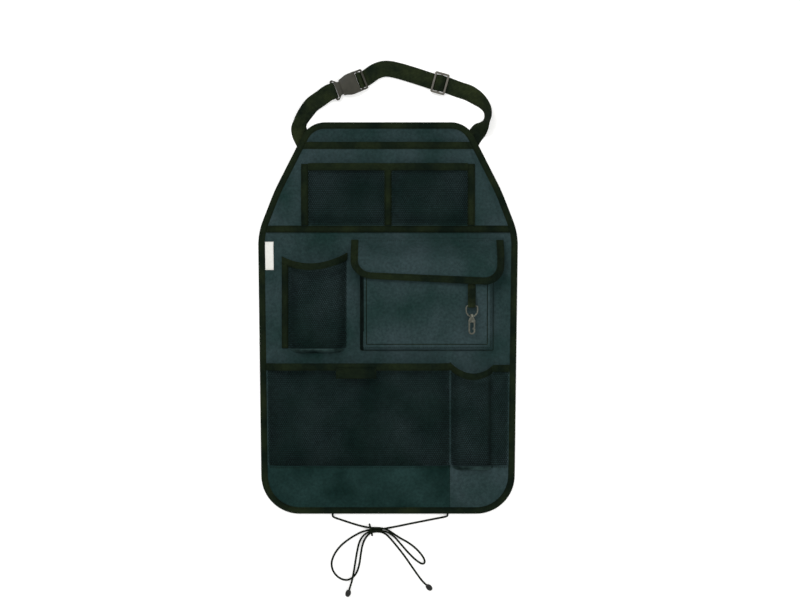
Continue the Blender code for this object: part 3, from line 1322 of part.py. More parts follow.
def main():
    clear_scene()
    make_panel()
    make_edge_binding()
    make_map_pocket()
    make_card_pockets()
    make_bottle_pocket()
    make_flap_pocket()
    make_flap()
    make_fasteners()
    make_lower_band()
    make_lower_net()
    make_corner_pocket()
    make_label()
    make_left_strap()
    make_long_strap()
    make_socket()
    make_plug()
    make_adjuster()
    make_key_strap()
    make_eye()
    make_hook()
    make_gate()
    for side, route in (("left", LEFT_CORD), ("right", RIGHT_CORD)):
        add_cord(f"tie_cord_{side}", route, CORD_STEP)
        make_cord_tip(f"cord_tip_{side}", route)
    add_cord("bow_knot", KNOT_TURN, KNOT_STEP)


main()
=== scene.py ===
"""Dressed car seat organizer that lies on its back, seen from straight above.

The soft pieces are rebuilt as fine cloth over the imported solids, the hard pieces are rounded copies of them.
Units are metres, +X to the right, +Y towards the strap, +Z out of the organizer's front.
"""
import logging
import math
from dataclasses import dataclass, field
from enum import Enum
from typing import Dict, List, Optional, Sequence, Tuple, Union

import bmesh
import bpy
import numpy as np
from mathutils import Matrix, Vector, noise


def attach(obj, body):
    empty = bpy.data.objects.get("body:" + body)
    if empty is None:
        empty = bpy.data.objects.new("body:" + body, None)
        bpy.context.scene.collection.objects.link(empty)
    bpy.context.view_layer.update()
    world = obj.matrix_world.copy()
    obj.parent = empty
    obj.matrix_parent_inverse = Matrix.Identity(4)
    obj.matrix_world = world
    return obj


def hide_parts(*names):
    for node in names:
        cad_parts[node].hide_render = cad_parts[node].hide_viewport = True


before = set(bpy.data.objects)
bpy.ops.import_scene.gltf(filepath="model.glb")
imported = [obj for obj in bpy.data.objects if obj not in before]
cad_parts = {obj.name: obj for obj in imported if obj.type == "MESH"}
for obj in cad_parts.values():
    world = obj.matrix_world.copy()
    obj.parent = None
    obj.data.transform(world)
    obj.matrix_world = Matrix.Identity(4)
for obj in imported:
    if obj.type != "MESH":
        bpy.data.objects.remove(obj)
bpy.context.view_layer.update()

log = logging.getLogger("organizer")

# Gauges shared by all sewn pieces, as in the part's source
GAP = 0.0003
FABRIC = 0.0008
NET = 0.0007
TAPE = 0.0008
TAPE_WIDTH = 0.010
WEBBING = 0.0012
WEBBING_WIDTH = 0.025
HARDWARE_Z = 0.0056
NET_PITCH = 0.0034
NET_YARN_WIDTH = 0.0009
YARN_SIDES = 3

# Shape of the folded tapes, and where their thread lies
TAPE_CROWN = 0.00012
TAPE_SWELL = 0.00005
TAPE_BEVEL = 0.0006
TAPE_DROP = 0.0003
SEAM_INSET = 0.0018
HEM_SEAM_SHARE = 0.18
TAPE_SEAM_SHARES = (0.15, 0.85)
THREAD_LIFT = 0.00003
LOW_THREAD_LIFT = 0.00002

# Scales of the materials' noise: one over the size of its grain in metres
FIBRE_SCALE = 900.0
MOTTLE_SCALE = 240.0
RUB_SCALE = 120.0
WEAR_SCALE = 260.0

# Spans of noise and relief that the materials read, and the tones between the threads and on them: painted
# shade darkens the cloth between the threads
PATCH_SPAN = (0.34, 0.66)
MIDDLE_SPAN = (0.3, 0.7)
RELIEF_SPAN = (-1.2, 0.8)
THREAD_SHADE_TONES = (0.62, 1.0)
POLISH = 0.08
SCUFF = 0.1
PLASTIC_IOR = 1.48
WEAR_RELIEF = 0.00004
PAPER_GLOW = 0.34

Setting = Union[float, int, str, Tuple[float, ...], bpy.types.NodeSocket]
Inputs = Dict[Union[str, int], Setting]

# Width of a piece's folds, the seed of their noise and their depth
Folds = Tuple[float, float, float]
GUSSET_FOLDS: Folds = (0.014, 21.0, 0.0007)


class Rides(Enum):
    """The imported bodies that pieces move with."""

    ORGANIZER = "organizer"
    EYE = "key_eye"
    HOOK = "snap_hook"
    GATE = "gate"


# Materials


def linear(colour: str) -> Tuple[float, float, float, float]:
    """Turns an sRGB hex colour to linear light.

    Args:
        colour: Six hex digits after a hash sign.

    Returns:
        Red, green, blue and alpha.
    """
    parts = [int(colour[i:i + 2], 16) / 255 for i in (1, 3, 5)]
    red, green, blue = (c / 12.92 if c <= 0.04045 else ((c + 0.055) / 1.055) ** 2.4 for c in parts)
    return red, green, blue, 1.0


def add_node(
    tree: bpy.types.NodeTree, kind: str, inputs: Optional[Inputs] = None, **settings: Setting
) -> bpy.types.Node:
    """Adds a node with its settings, values and links.

    Args:
        tree: The node tree.
        kind: The node's type name.
        inputs: A value, or a socket to link from, for each named or numbered input.
        settings: The node's own properties.

    Returns:
        The new node.
    """
    node = tree.nodes.new(kind)
    for name, value in settings.items():
        setattr(node, name, value)
    for key, value in (inputs or {}).items():
        if isinstance(value, bpy.types.NodeSocket):
            tree.links.new(value, node.inputs[key])
        else:
            node.inputs[key].default_value = value
    return node


def sine_of(tree: bpy.types.NodeTree, place: bpy.types.NodeSocket, period: float) -> bpy.types.NodeSocket:
    """Gives a wave of one period along a coordinate, from -1 to 1."""
    turn = add_node(tree, "ShaderNodeMath", {0: place, 1: 2 * math.pi / period}, operation="MULTIPLY")
    return add_node(tree, "ShaderNodeMath", {0: turn.outputs[0]}, operation="SINE").outputs[0]


def spans(value: bpy.types.NodeSocket, before: Tuple[float, float], after: Tuple[float, float]) -> Inputs:
    """Gives the inputs that turn a value's span to another span."""
    names = ("From Min", "From Max", "To Min", "To Max")
    return {"Value": value, **dict(zip(names, before + after))}


@dataclass(frozen=True)
class Finish:
    """A real material, with its common name, the name of its slot and its roughness."""

    name: str
    slot: str
    roughness: float

    def material(self) -> bpy.types.Material:
        """Gives the material, made on first use."""
        made = bpy.data.materials.get(self.name)
        if made is None:
            made = bpy.data.materials.new(self.name)
            made.use_nodes = True
            shader = made.node_tree.nodes["Principled BSDF"]
            shader.inputs["Roughness"].default_value = self.roughness
            self.shade(made.node_tree, shader)
        return made

    def shade(self, tree: bpy.types.NodeTree, shader: bpy.types.Node) -> None:
        """Builds the pattern of the finish."""


@dataclass(frozen=True)
class Textile(Finish):
    """A woven, ribbed or braided textile whose threads follow the piece's own UV map in metres."""

    light: str
    dark: str
    across_mm: float = 0.9
    along_mm: float = 0.9
    rib: float = 0.0
    pick: float = 0.0
    check: float = 1.0
    relief_mm: float = 0.12
    gloss: float = 0.05
    cloud: float = 11.0
    mottle: float = 0.18
    diagonal: bool = False

    def shade(self, tree: bpy.types.NodeTree, shader: bpy.types.Node) -> None:
        """Builds threads with painted shade between them, fuzz and the slow change of colour of a handled
        textile.
        """
        uv = add_node(tree, "ShaderNodeUVMap", uv_map="UVMap").outputs[0]
        parts = add_node(tree, "ShaderNodeSeparateXYZ", {0: uv})
        across, along = parts.outputs["X"], parts.outputs["Y"]
        if self.diagonal:
            total = add_node(tree, "ShaderNodeMath", {0: across, 1: along}, operation="ADD").outputs[0]
            rest = add_node(tree, "ShaderNodeMath", {0: across, 1: along}, operation="SUBTRACT").outputs[0]
            across, along = total, rest
        ribs = sine_of(tree, across, self.across_mm / 1000)
        picks = sine_of(tree, along, self.along_mm / 1000)
        checks = add_node(tree, "ShaderNodeMath", {0: ribs, 1: picks}, operation="MULTIPLY").outputs[0]
        relief = add_node(tree, "ShaderNodeMath", {0: ribs, 1: self.rib}, operation="MULTIPLY").outputs[0]
        for wave, weight in ((picks, self.pick), (checks, self.check)):
            relief = add_node(
                tree, "ShaderNodeMath", {0: wave, 1: weight, 2: relief}, operation="MULTIPLY_ADD"
            ).outputs[0]
        spot = add_node(tree, "ShaderNodeTexCoord").outputs["Object"]
        grains = (self.cloud, 4.0), (FIBRE_SCALE, 2.0), (MOTTLE_SCALE, 3.0)
        cloud, fuzz, specks = (
            add_node(tree, "ShaderNodeTexNoise", {"Vector": spot, "Scale": size, "Detail": fine}).outputs[0]
            for size, fine in grains
        )
        patch = add_node(tree, "ShaderNodeMapRange", spans(cloud, PATCH_SPAN, (0.0, 1.0))).outputs[0]
        cloth = add_node(
            tree, "ShaderNodeMix", {0: patch, 6: linear(self.dark), 7: linear(self.light)}, data_type="RGBA"
        ).outputs[2]
        # Painted shade: the colour darkens where the relief is low, between the threads
        depth = add_node(tree, "ShaderNodeMapRange", spans(relief, RELIEF_SPAN, THREAD_SHADE_TONES)).outputs[0]
        tones = 1 - self.mottle, 1 + self.mottle
        worn = add_node(tree, "ShaderNodeMapRange", spans(specks, MIDDLE_SPAN, tones)).outputs[0]
        tone = add_node(tree, "ShaderNodeMath", {0: depth, 1: worn}, operation="MULTIPLY").outputs[0]
        shaded = add_node(
            tree, "ShaderNodeMix", {0: 1.0, 6: cloth, 7: tone}, data_type="RGBA", blend_type="MULTIPLY"
        ).outputs[2]
        height = add_node(
            tree, "ShaderNodeMath", {0: fuzz, 1: 0.6, 2: relief}, operation="MULTIPLY_ADD"
        ).outputs[0]
        bump = add_node(
            tree, "ShaderNodeBump", {"Height": height, "Distance": self.relief_mm / 1000, "Strength": 0.8}
        ).outputs[0]
        tree.links.new(shaded, shader.inputs["Base Color"])
        tree.links.new(bump, shader.inputs["Normal"])
        shader.inputs["Specular IOR Level"].default_value = self.gloss


@dataclass(frozen=True)
class Oxford(Textile):
    """Plain-woven polyester, coated behind, its weave drawn 1.1 mm coarse to show."""

    across_mm: float = 1.1
    along_mm: float = 1.1


@dataclass(frozen=True)
class Moulded(Finish):
    """Injection-moulded plastic with a fine spark-eroded grain and rubbed paler patches."""

    light: str
    dark: str
    grain_mm: float = 0.35
    relief_mm: float = 0.03
    gloss: float = 0.3

    def shade(self, tree: bpy.types.NodeTree, shader: bpy.types.Node) -> None:
        """Builds the grain and the handling marks."""
        spot = add_node(tree, "ShaderNodeTexCoord").outputs["Object"]
        grain = add_node(
            tree, "ShaderNodeTexNoise", {"Vector": spot, "Scale": 1000 / self.grain_mm, "Detail": 2.0}
        ).outputs[0]
        rub = add_node(
            tree, "ShaderNodeTexNoise", {"Vector": spot, "Scale": RUB_SCALE, "Detail": 3.0}
        ).outputs[0]
        tone = add_node(
            tree, "ShaderNodeMix", {0: rub, 6: linear(self.dark), 7: linear(self.light)}, data_type="RGBA"
        ).outputs[2]
        handled = self.roughness - POLISH, self.roughness + SCUFF
        rough = add_node(tree, "ShaderNodeMapRange", spans(rub, MIDDLE_SPAN, handled)).outputs[0]
        relief = self.relief_mm / 1000
        bump = add_node(tree, "ShaderNodeBump", {"Height": grain, "Distance": relief}).outputs[0]
        tree.links.new(tone, shader.inputs["Base Color"])
        tree.links.new(rough, shader.inputs["Roughness"])
        tree.links.new(bump, shader.inputs["Normal"])
        shader.inputs["IOR"].default_value = PLASTIC_IOR
        shader.inputs["Specular IOR Level"].default_value = self.gloss


@dataclass(frozen=True)
class Plated(Finish):
    """Die-cast zinc under a dark plating that wears brighter in patches."""

    light: str
    dark: str

    def shade(self, tree: bpy.types.NodeTree, shader: bpy.types.Node) -> None:
        """Builds the worn plating."""
        spot = add_node(tree, "ShaderNodeTexCoord").outputs["Object"]
        wear = add_node(
            tree, "ShaderNodeTexNoise", {"Vector": spot, "Scale": WEAR_SCALE, "Detail": 4.0}
        ).outputs[0]
        tone = add_node(
            tree, "ShaderNodeMix", {0: wear, 6: linear(self.dark), 7: linear(self.light)}, data_type="RGBA"
        ).outputs[2]
        bump = add_node(tree, "ShaderNodeBump", {"Height": wear, "Distance": WEAR_RELIEF}).outputs[0]
        tree.links.new(tone, shader.inputs["Base Color"])
        tree.links.new(bump, shader.inputs["Normal"])
        shader.inputs["Metallic"].default_value = 1.0


@dataclass(frozen=True)
class Paper(Finish):
    """Matte white studio paper, which the camera sees a little brighter than it is lit."""

    def shade(self, tree: bpy.types.NodeTree, shader: bpy.types.Node) -> None:
        """Adds the paper's own light for camera, glossy and transmission rays."""
        shader.inputs["Base Color"].default_value = linear("#f0f0ee")
        shader.inputs["Specular IOR Level"].default_value = 0.0
        rays = add_node(tree, "ShaderNodeLightPath")
        seen = rays.outputs["Is Camera Ray"]
        for ray in ("Is Glossy Ray", "Is Transmission Ray"):
            seen = add_node(
                tree, "ShaderNodeMath", {0: seen, 1: rays.outputs[ray]}, operation="MAXIMUM"
            ).outputs[0]
        glow = add_node(tree, "ShaderNodeMath", {0: seen, 1: PAPER_GLOW}, operation="MULTIPLY").outputs[0]
        shader.inputs["Emission Color"].default_value = (1.0, 1.0, 1.0, 1.0)
        tree.links.new(glow, shader.inputs["Emission Strength"])


# Polyester oxford cloth, coated behind: a dull teal slate, faded in patches, with an even plain weave
SLATE_CLOTH = Oxford("woven_polyester", "fabric", 0.85, light="#344446", dark="#1b322f")
# The same cloth below the double seam, painted darker as shade on the lower band
SHADED_BAND_CLOTH = Oxford("band_shaded_polyester", "fabric", 0.85, light="#213937", dark="#0e2522", cloud=16.0)
# The same cloth folded under at the flap pocket's left side, painted near black as the shade behind the
# pocket's raised edge
LEFT_SIDE_SHADE_CLOTH = Oxford("left_side_shade_polyester", "fabric", 0.9, light="#12201d", dark="#060d0b", cloud=42.0)
# The same cloth at the pockets' feet, crumpled, painted pale and dark in patches: painted highlight and
# painted shade for its folds
FOOT_LIGHT_AND_SHADE_CLOTH = Oxford("foot_light_and_shade_polyester", "fabric", 0.62, light="#3a504e", dark="#101f1d", cloud=42.0)
# Knitted polyester net: near black with a green cast, its yarn dull
NET_YARN = Textile(
    "knitted_net", "net", 0.8, light="#14221d", dark="#030807", check=0.3, relief_mm=0.05, cloud=20.0,
)
# Grosgrain binding: matte olive black with fine lengthwise ribs
BINDING = Textile(
    "grosgrain_binding", "binding", 0.92, light="#1d2616", dark="#0c1710", across_mm=1.6, along_mm=1.2,
    rib=0.6, check=0.5, relief_mm=0.16, cloud=26.0,
)
# Polypropylene webbing: olive black, 2.4 mm lengthwise ribs with short picks across them
STRAP_WEB = Textile(
    "ribbed_webbing", "webbing", 0.78, light="#28301b", dark="#101a11", across_mm=2.4, along_mm=1.8,
    rib=0.6, pick=0.2, check=0.6, relief_mm=0.30, cloud=30.0,
)
# Satin label, plain white with a fine sheen across it
LABEL_SATIN = Textile(
    "satin_label", "label", 0.50, light="#f4f4ee", dark="#e6e6de", across_mm=0.5, along_mm=0.4, rib=0.2,
    check=0.1, relief_mm=0.04, gloss=0.3, mottle=0.04,
)
# Loop and hook tape: matte black pile
PILE = Textile(
    "pile_tape", "fastener", 0.95, light="#1c201e", dark="#101312", across_mm=1.3, along_mm=1.3,
    relief_mm=0.4,
)
# Braided polyester cord, 3 mm: black with a diagonal plait
CORD_BRAID = Textile(
    "braided_cord", "cord", 0.8, light="#182013", dark="#0b100a", across_mm=2.5, along_mm=2.5, diagonal=True,
    relief_mm=0.2,
)
# Bonded polyester sewing thread, a shade darker than the binding
THREAD = Textile("sewing_thread", "binding", 0.75, light="#101b11", dark="#080f08", check=0.2, relief_mm=0.03)
# Acetal of the buckle: satin grey-olive black
ACETAL = Moulded("moulded_acetal", "plastic", 0.5, light="#3d3c32", dark="#22221b")
# Soft vinyl of the cord tips: black with a dull shine
TIP_VINYL = Moulded("moulded_vinyl", "plastic", 0.5, light="#191a16", dark="#0d0e0b")
# Nylon of the slide adjuster, paler where the strap rubs it
NYLON = Moulded("moulded_nylon", "plastic", 0.38, light="#6d6a60", dark="#4a4842")
# Gunmetal-plated zinc of the key hook
GUNMETAL = Plated("plated_zinc", "metal", 0.30, light="#8b8d81", dark="#383a33")
WHITE_PAPER = Paper("studio_paper", "", 0.9)


# Geometry Nodes


def group_inputs(tree: bpy.types.NodeTree, inputs: Dict[str, str]) -> bpy.types.Node:
    """Names the inputs of a Geometry Nodes tree and its one output.

    Args:
        tree: A new geometry tree.
        inputs: Socket type for each input after the geometry.

    Returns:
        The Group Input node.
    """
    tree.interface.new_socket("Geometry", in_out="INPUT", socket_type="NodeSocketGeometry")
    for name, kind in inputs.items():
        tree.interface.new_socket(name, in_out="INPUT", socket_type=kind)
    tree.interface.new_socket("Geometry", in_out="OUTPUT", socket_type="NodeSocketGeometry")
    return tree.nodes.new("NodeGroupInput")


def finish_tree(tree: bpy.types.NodeTree, made: bpy.types.NodeSocket, material: bpy.types.NodeSocket) -> None:
    """Ends a tree in Realize Instances, Set Material and the group's output."""
    real = add_node(tree, "GeometryNodeRealizeInstances", {0: made}).outputs[0]
    dressed = add_node(tree, "GeometryNodeSetMaterial", {"Geometry": real, "Material": material}).outputs[0]
    add_node(tree, "NodeGroupOutput", {0: dressed})


def netting_tree() -> bpy.types.NodeTree:
    """Knits a net: the dual of a triangle lattice is its honeycomb, whose edges become yarn."""
    tree = bpy.data.node_groups.new("Netting", "GeometryNodeTree")
    sockets = {"Yarn width": "NodeSocketFloat", "Yarn sides": "NodeSocketInt"}
    given = group_inputs(tree, {**sockets, "Material": "NodeSocketMaterial"}).outputs
    comb = add_node(tree, "GeometryNodeDualMesh", {0: given["Geometry"]}).outputs[0]
    edges = add_node(tree, "GeometryNodeMeshToCurve", {0: comb}).outputs[0]
    half = add_node(tree, "ShaderNodeMath", {0: given["Yarn width"], 1: 0.5}, operation="MULTIPLY")
    profile = {"Resolution": given["Yarn sides"], "Radius": half.outputs[0]}
    ring = add_node(tree, "GeometryNodeCurvePrimitiveCircle", profile).outputs[0]
    strands = {"Curve": edges, "Profile Curve": ring, "Fill Caps": True}
    yarn = add_node(tree, "GeometryNodeCurveToMesh", strands).outputs[0]
    finish_tree(tree, yarn, given["Material"])
    return tree


def stitching_tree() -> bpy.types.NodeTree:
    """Sews along edges: a bead of thread at every stitch, turned along the seam."""
    tree = bpy.data.node_groups.new("Stitching", "GeometryNodeTree")
    sockets = {name: "NodeSocketFloat" for name in ("Stitch pitch", "Stitch length", "Thread width")}
    given = group_inputs(tree, {**sockets, "Material": "NodeSocketMaterial"}).outputs
    seams = add_node(tree, "GeometryNodeMeshToCurve", {0: given["Geometry"]}).outputs[0]
    spacing = {"Curve": seams, "Length": given["Stitch pitch"]}
    beads = add_node(tree, "GeometryNodeResampleCurve", spacing, mode="LENGTH").outputs[0]
    tangent = add_node(tree, "GeometryNodeInputTangent").outputs[0]
    turn = add_node(tree, "FunctionNodeAlignRotationToVector", {"Vector": tangent}, axis="X").outputs[0]
    bead = add_node(tree, "GeometryNodeMeshIcoSphere", {"Radius": 0.5, "Subdivisions": 1}).outputs[0]
    lengths = {0: given["Stitch length"], 1: given["Thread width"], 2: given["Thread width"]}
    size = add_node(tree, "ShaderNodeCombineXYZ", lengths).outputs[0]
    stitches = {"Points": beads, "Instance": bead, "Rotation": turn, "Scale": size}
    sewn = add_node(tree, "GeometryNodeInstanceOnPoints", stitches).outputs[0]
    finish_tree(tree, sewn, given["Material"])
    return tree


def grow(
    base: bpy.types.Object, tree: bpy.types.NodeTree, values: Dict[str, Setting], name: str
) -> bpy.types.Object:
    """Runs a Geometry Nodes tree on an object and keeps the result as a plain mesh.

    Args:
        base: The object the tree reads, which is removed.
        tree: The tree.
        values: A value for each named input.
        name: The new object's name.

    Returns:
        The plain mesh object.
    """
    modifier = base.modifiers.new(tree.name, "NODES")
    modifier.node_group = tree
    sockets = {item.name: item.identifier for item in tree.interface.items_tree if item.in_out == "INPUT"}
    for key, value in values.items():
        modifier[sockets[key]] = value
    bpy.context.view_layer.update()
    shown = base.evaluated_get(bpy.context.evaluated_depsgraph_get())
    mesh = bpy.data.meshes.new_from_object(shown)
    mesh.name = name
    bpy.data.objects.remove(base)
    grown = bpy.data.objects.new(name, mesh)
    bpy.context.scene.collection.objects.link(grown)
    return grown


# Mesh building


def make_object(
    name: str, points: np.ndarray, faces: Sequence[Sequence[int]], corners: Optional[np.ndarray] = None,
    finish: Optional[Finish] = None,
) -> bpy.types.Object:
    """Makes a smooth mesh object with a UV map in metres.

    Args:
        name: The object's name.
        points: Vertex places, one row each.
        faces: Vertex numbers of each face.
        corners: UV of each face corner in order.
        finish: The finish it wears.

    Returns:
        The object, at the origin.
    """
    mesh = bpy.data.meshes.new(name)
    mesh.from_pydata(points.tolist(), [], faces)
    if corners is not None:
        layer = mesh.uv_layers.new(name="UVMap")
        layer.data.foreach_set("uv", np.asarray(corners, np.float32).ravel())
    mesh.shade_smooth()
    made = bpy.data.objects.new(name, mesh)
    bpy.context.scene.collection.objects.link(made)
    if finish is not None:
        mesh.materials.append(finish.material())
    return made


def face_outwards(made: bpy.types.Object, sharp: float = 50.0) -> None:
    """Turns the faces of a closed mesh outwards and marks its sharp edges."""
    bm = bmesh.new()
    bm.from_mesh(made.data)
    bmesh.ops.recalc_face_normals(bm, faces=bm.faces)
    bm.to_mesh(made.data)
    bm.free()
    made.data.set_sharp_from_angle(angle=math.radians(sharp))


def settle(made: bpy.types.Object, body: Rides, finish: Finish, *nodes: str) -> bpy.types.Object:
    """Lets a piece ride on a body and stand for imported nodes."""
    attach(made, body.value)
    if nodes:
        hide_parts(*nodes)
    log.info("%s: %d faces", made.name, len(made.data.polygons))
    return made


def unit(vectors: np.ndarray) -> np.ndarray:
    """Scales vectors in the last axis to length 1."""
    return vectors / np.maximum(np.linalg.norm(vectors, axis=-1, keepdims=True), 1e-12)


def run_of(points: np.ndarray, axis: int) -> np.ndarray:
    """Distance run along one axis of a grid of points."""
    steps = np.linalg.norm(np.diff(points, axis=axis), axis=-1)
    start = np.zeros_like(np.take(steps, [0], axis=axis))
    return np.concatenate([start, np.cumsum(steps, axis=axis)], axis=axis)


@dataclass
class Sheet:
    """Cloth given by a grid of points on its lower face, rows from the sewn edge to the free edge."""

    grid: np.ndarray
    thickness: float

    def normals(self) -> np.ndarray:
        """Gives the unit normal at each point."""
        up, across = np.gradient(self.grid, axis=0), np.gradient(self.grid, axis=1)
        return unit(np.cross(across, up))

    def raised(self, height: float) -> np.ndarray:
        """Gives the points at a height above the lower face."""
        return self.grid + self.normals() * height

    def strip(self, rows: slice, columns: slice, height: float, thickness: float) -> "Sheet":
        """Gives a strip that lies on this sheet over some rows and columns."""
        return Sheet(self.raised(height)[rows, columns], thickness)

    def solid(self, name: str, finish: Finish, crown: float = 0.0) -> bpy.types.Object:
        """Builds the closed cloth.

        Args:
            name: The object's name.
            finish: Its finish.
            crown: How far the rim is rounded down from the top face.

        Returns:
            The mesh object.
        """
        rows, columns = self.grid.shape[:2]
        top = self.raised(self.thickness)
        if crown:
            rim = self.raised(self.thickness - crown)
            for edge in (np.s_[0], np.s_[-1], np.s_[:, 0], np.s_[:, -1]):
                top[edge] = rim[edge]
        points = np.concatenate([self.grid.reshape(-1, 3), top.reshape(-1, 3)])
        index = np.arange(rows * columns).reshape(rows, columns)
        upper = index + rows * columns
        a, b, c, d = upper[:-1, :-1], upper[:-1, 1:], upper[1:, 1:], upper[1:, :-1]
        faces = [np.stack([a, b, c, d], -1).reshape(-1, 4)]
        a, b, c, d = index[:-1, :-1], index[1:, :-1], index[1:, 1:], index[:-1, 1:]
        faces.append(np.stack([a, b, c, d], -1).reshape(-1, 4))
        ring = np.concatenate([index[0], index[1:, -1], index[-1, -2::-1], index[-2:0:-1, 0]])
        after = np.roll(ring, -1)
        lift = rows * columns
        faces.append(np.stack([ring, after, after + lift, ring + lift], -1))
        quads = np.concatenate(faces)
        uv = np.stack([run_of(self.grid, 1), run_of(self.grid, 0)], -1).reshape(-1, 2)
        return make_object(name, points, quads.tolist(), np.concatenate([uv, uv])[quads.ravel()], finish)

    def at(self, down: np.ndarray, across: np.ndarray, height: float) -> np.ndarray:
        """Gives points between those of the grid, by row and column numbers that may be fractions."""
        field_of = self.raised(height)
        r = np.clip(down, 0, field_of.shape[0] - 1.001)
        c = np.clip(across, 0, field_of.shape[1] - 1.001)
        r0, c0 = r.astype(int), c.astype(int)
        rf, cf = (r - r0)[..., None], (c - c0)[..., None]
        low = field_of[r0, c0] * (1 - cf) + field_of[r0, c0 + 1] * cf
        high = field_of[r0 + 1, c0] * (1 - cf) + field_of[r0 + 1, c0 + 1] * cf
        return low * (1 - rf) + high * rf

    def netting(self, name: str, tree: bpy.types.NodeTree) -> bpy.types.Object:
        """Knits this sheet as a net.

        Args:
            name: The object's name.
            tree: The netting tree.

        Returns:
            The net as a plain mesh.
        """
        run_across = run_of(self.grid, 1).mean(0)
        run_up = run_of(self.grid, 0).mean(1)
        wide, high = run_across[-1], run_up[-1]
        count, lines = int(wide / NET_PITCH), int(high / (NET_PITCH * math.sqrt(3) / 2))
        step_up = high / lines
        pitch = wide / (count + 0.5)
        line, place = np.meshgrid(np.arange(lines + 1), np.arange(count + 1), indexing="ij")
        across = (place + (line % 2) * 0.5) * pitch
        up = line * step_up
        columns = np.interp(across, run_across, np.arange(len(run_across)))
        rows = np.interp(up, run_up, np.arange(len(run_up)))
        points = self.at(rows, columns, self.thickness / 2).reshape(-1, 3)
        faces = []
        for r in range(lines):
            for c in range(count):
                a, b = r * (count + 1) + c, r * (count + 1) + c + 1
                d, e = a + count + 1, b + count + 1
                faces += [(a, b, d), (b, e, d)] if r % 2 == 0 else [(a, e, d), (a, b, e)]
        lattice = make_object(name + "_lattice", points, faces)
        values = {"Yarn width": NET_YARN_WIDTH, "Yarn sides": YARN_SIDES, "Material": NET_YARN.material()}
        return grow(lattice, tree, values, name)


def sweep(
    name: str, sections: np.ndarray, finish: Finish, closed: bool = False, sharp: float = 50.0
) -> bpy.types.Object:
    """Builds a solid through sections, with U round the section and V along the way.

    Args:
        name: The object's name.
        sections: Points by station and place round the section.
        finish: The finish it wears.
        closed: Whether the last section joins the first.
        sharp: Angle in degrees from which an edge is sharp.

    Returns:
        The mesh object.
    """
    stations, sides = sections.shape[:2]
    ring = np.concatenate([sections, sections[:, :1]], axis=1)
    round_it = run_of(ring, 1).mean(0)
    loop = np.concatenate([sections, sections[:1]], axis=0) if closed else sections
    along = run_of(loop.mean(1), 0)
    faces, corners = [], []
    for s in range(len(loop) - 1):
        t = (s + 1) % stations
        for k in range(sides):
            m = (k + 1) % sides
            faces.append((s * sides + k, s * sides + m, t * sides + m, t * sides + k))
            left, right, here, there = round_it[k], round_it[k + 1], along[s], along[s + 1]
            corners += [(left, here), (right, here), (right, there), (left, there)]
    if not closed:
        faces += [tuple(range(sides)), tuple((stations - 1) * sides + k for k in range(sides))]
        corners += [(u, 0.0) for u in round_it[:-1]] * 2
    made = make_object(name, sections.reshape(-1, 3), faces, np.array(corners), finish)
    face_outwards(made, sharp)
    return made


# Small maths


def smooth(value: np.ndarray) -> np.ndarray:
    """Eases from 0 to 1 between 0 and 1."""
    value = np.clip(value, 0.0, 1.0)
    return value * value * (3 - 2 * value)


def mix(low: float, high: float, share: np.ndarray) -> np.ndarray:
    """Gives the value a share of the way from low to high."""
    return low + (high - low) * share


def hump(value: np.ndarray, left: float, right: float, ramp_left: float, ramp_right: float) -> np.ndarray:
    """Rises smoothly from 0 at left to 1, and falls to 0 at right."""
    return smooth((value - left) / ramp_left) * smooth((right - value) / ramp_right)


def across(left: float, right: float, ramps: Tuple[float, float], fine: int, coarse: int) -> np.ndarray:
    """Spaces columns finely over two ramps and evenly between them."""
    near = left + np.linspace(0, ramps[0], fine + 1)
    far = right - np.linspace(ramps[1], 0, fine + 1)
    return np.concatenate([near, np.linspace(near[-1], far[0], coarse + 1)[1:-1], far])


def drape(x: np.ndarray, y: np.ndarray, size: float, seed: float, depth: float) -> np.ndarray:
    """Gives soft uneven folds.

    Args:
        x: Places across.
        y: Places along.
        size: Width of a fold.
        seed: Chooses another stretch of the same noise.
        depth: Height of the folds.

    Returns:
        Heights from about -depth to depth.
    """
    flat = [noise.noise(Vector((a / size, b / size, seed))) for a, b in zip(x.ravel(), y.ravel())]
    return np.array(flat).reshape(x.shape) * depth * 1.6


# Panel outline


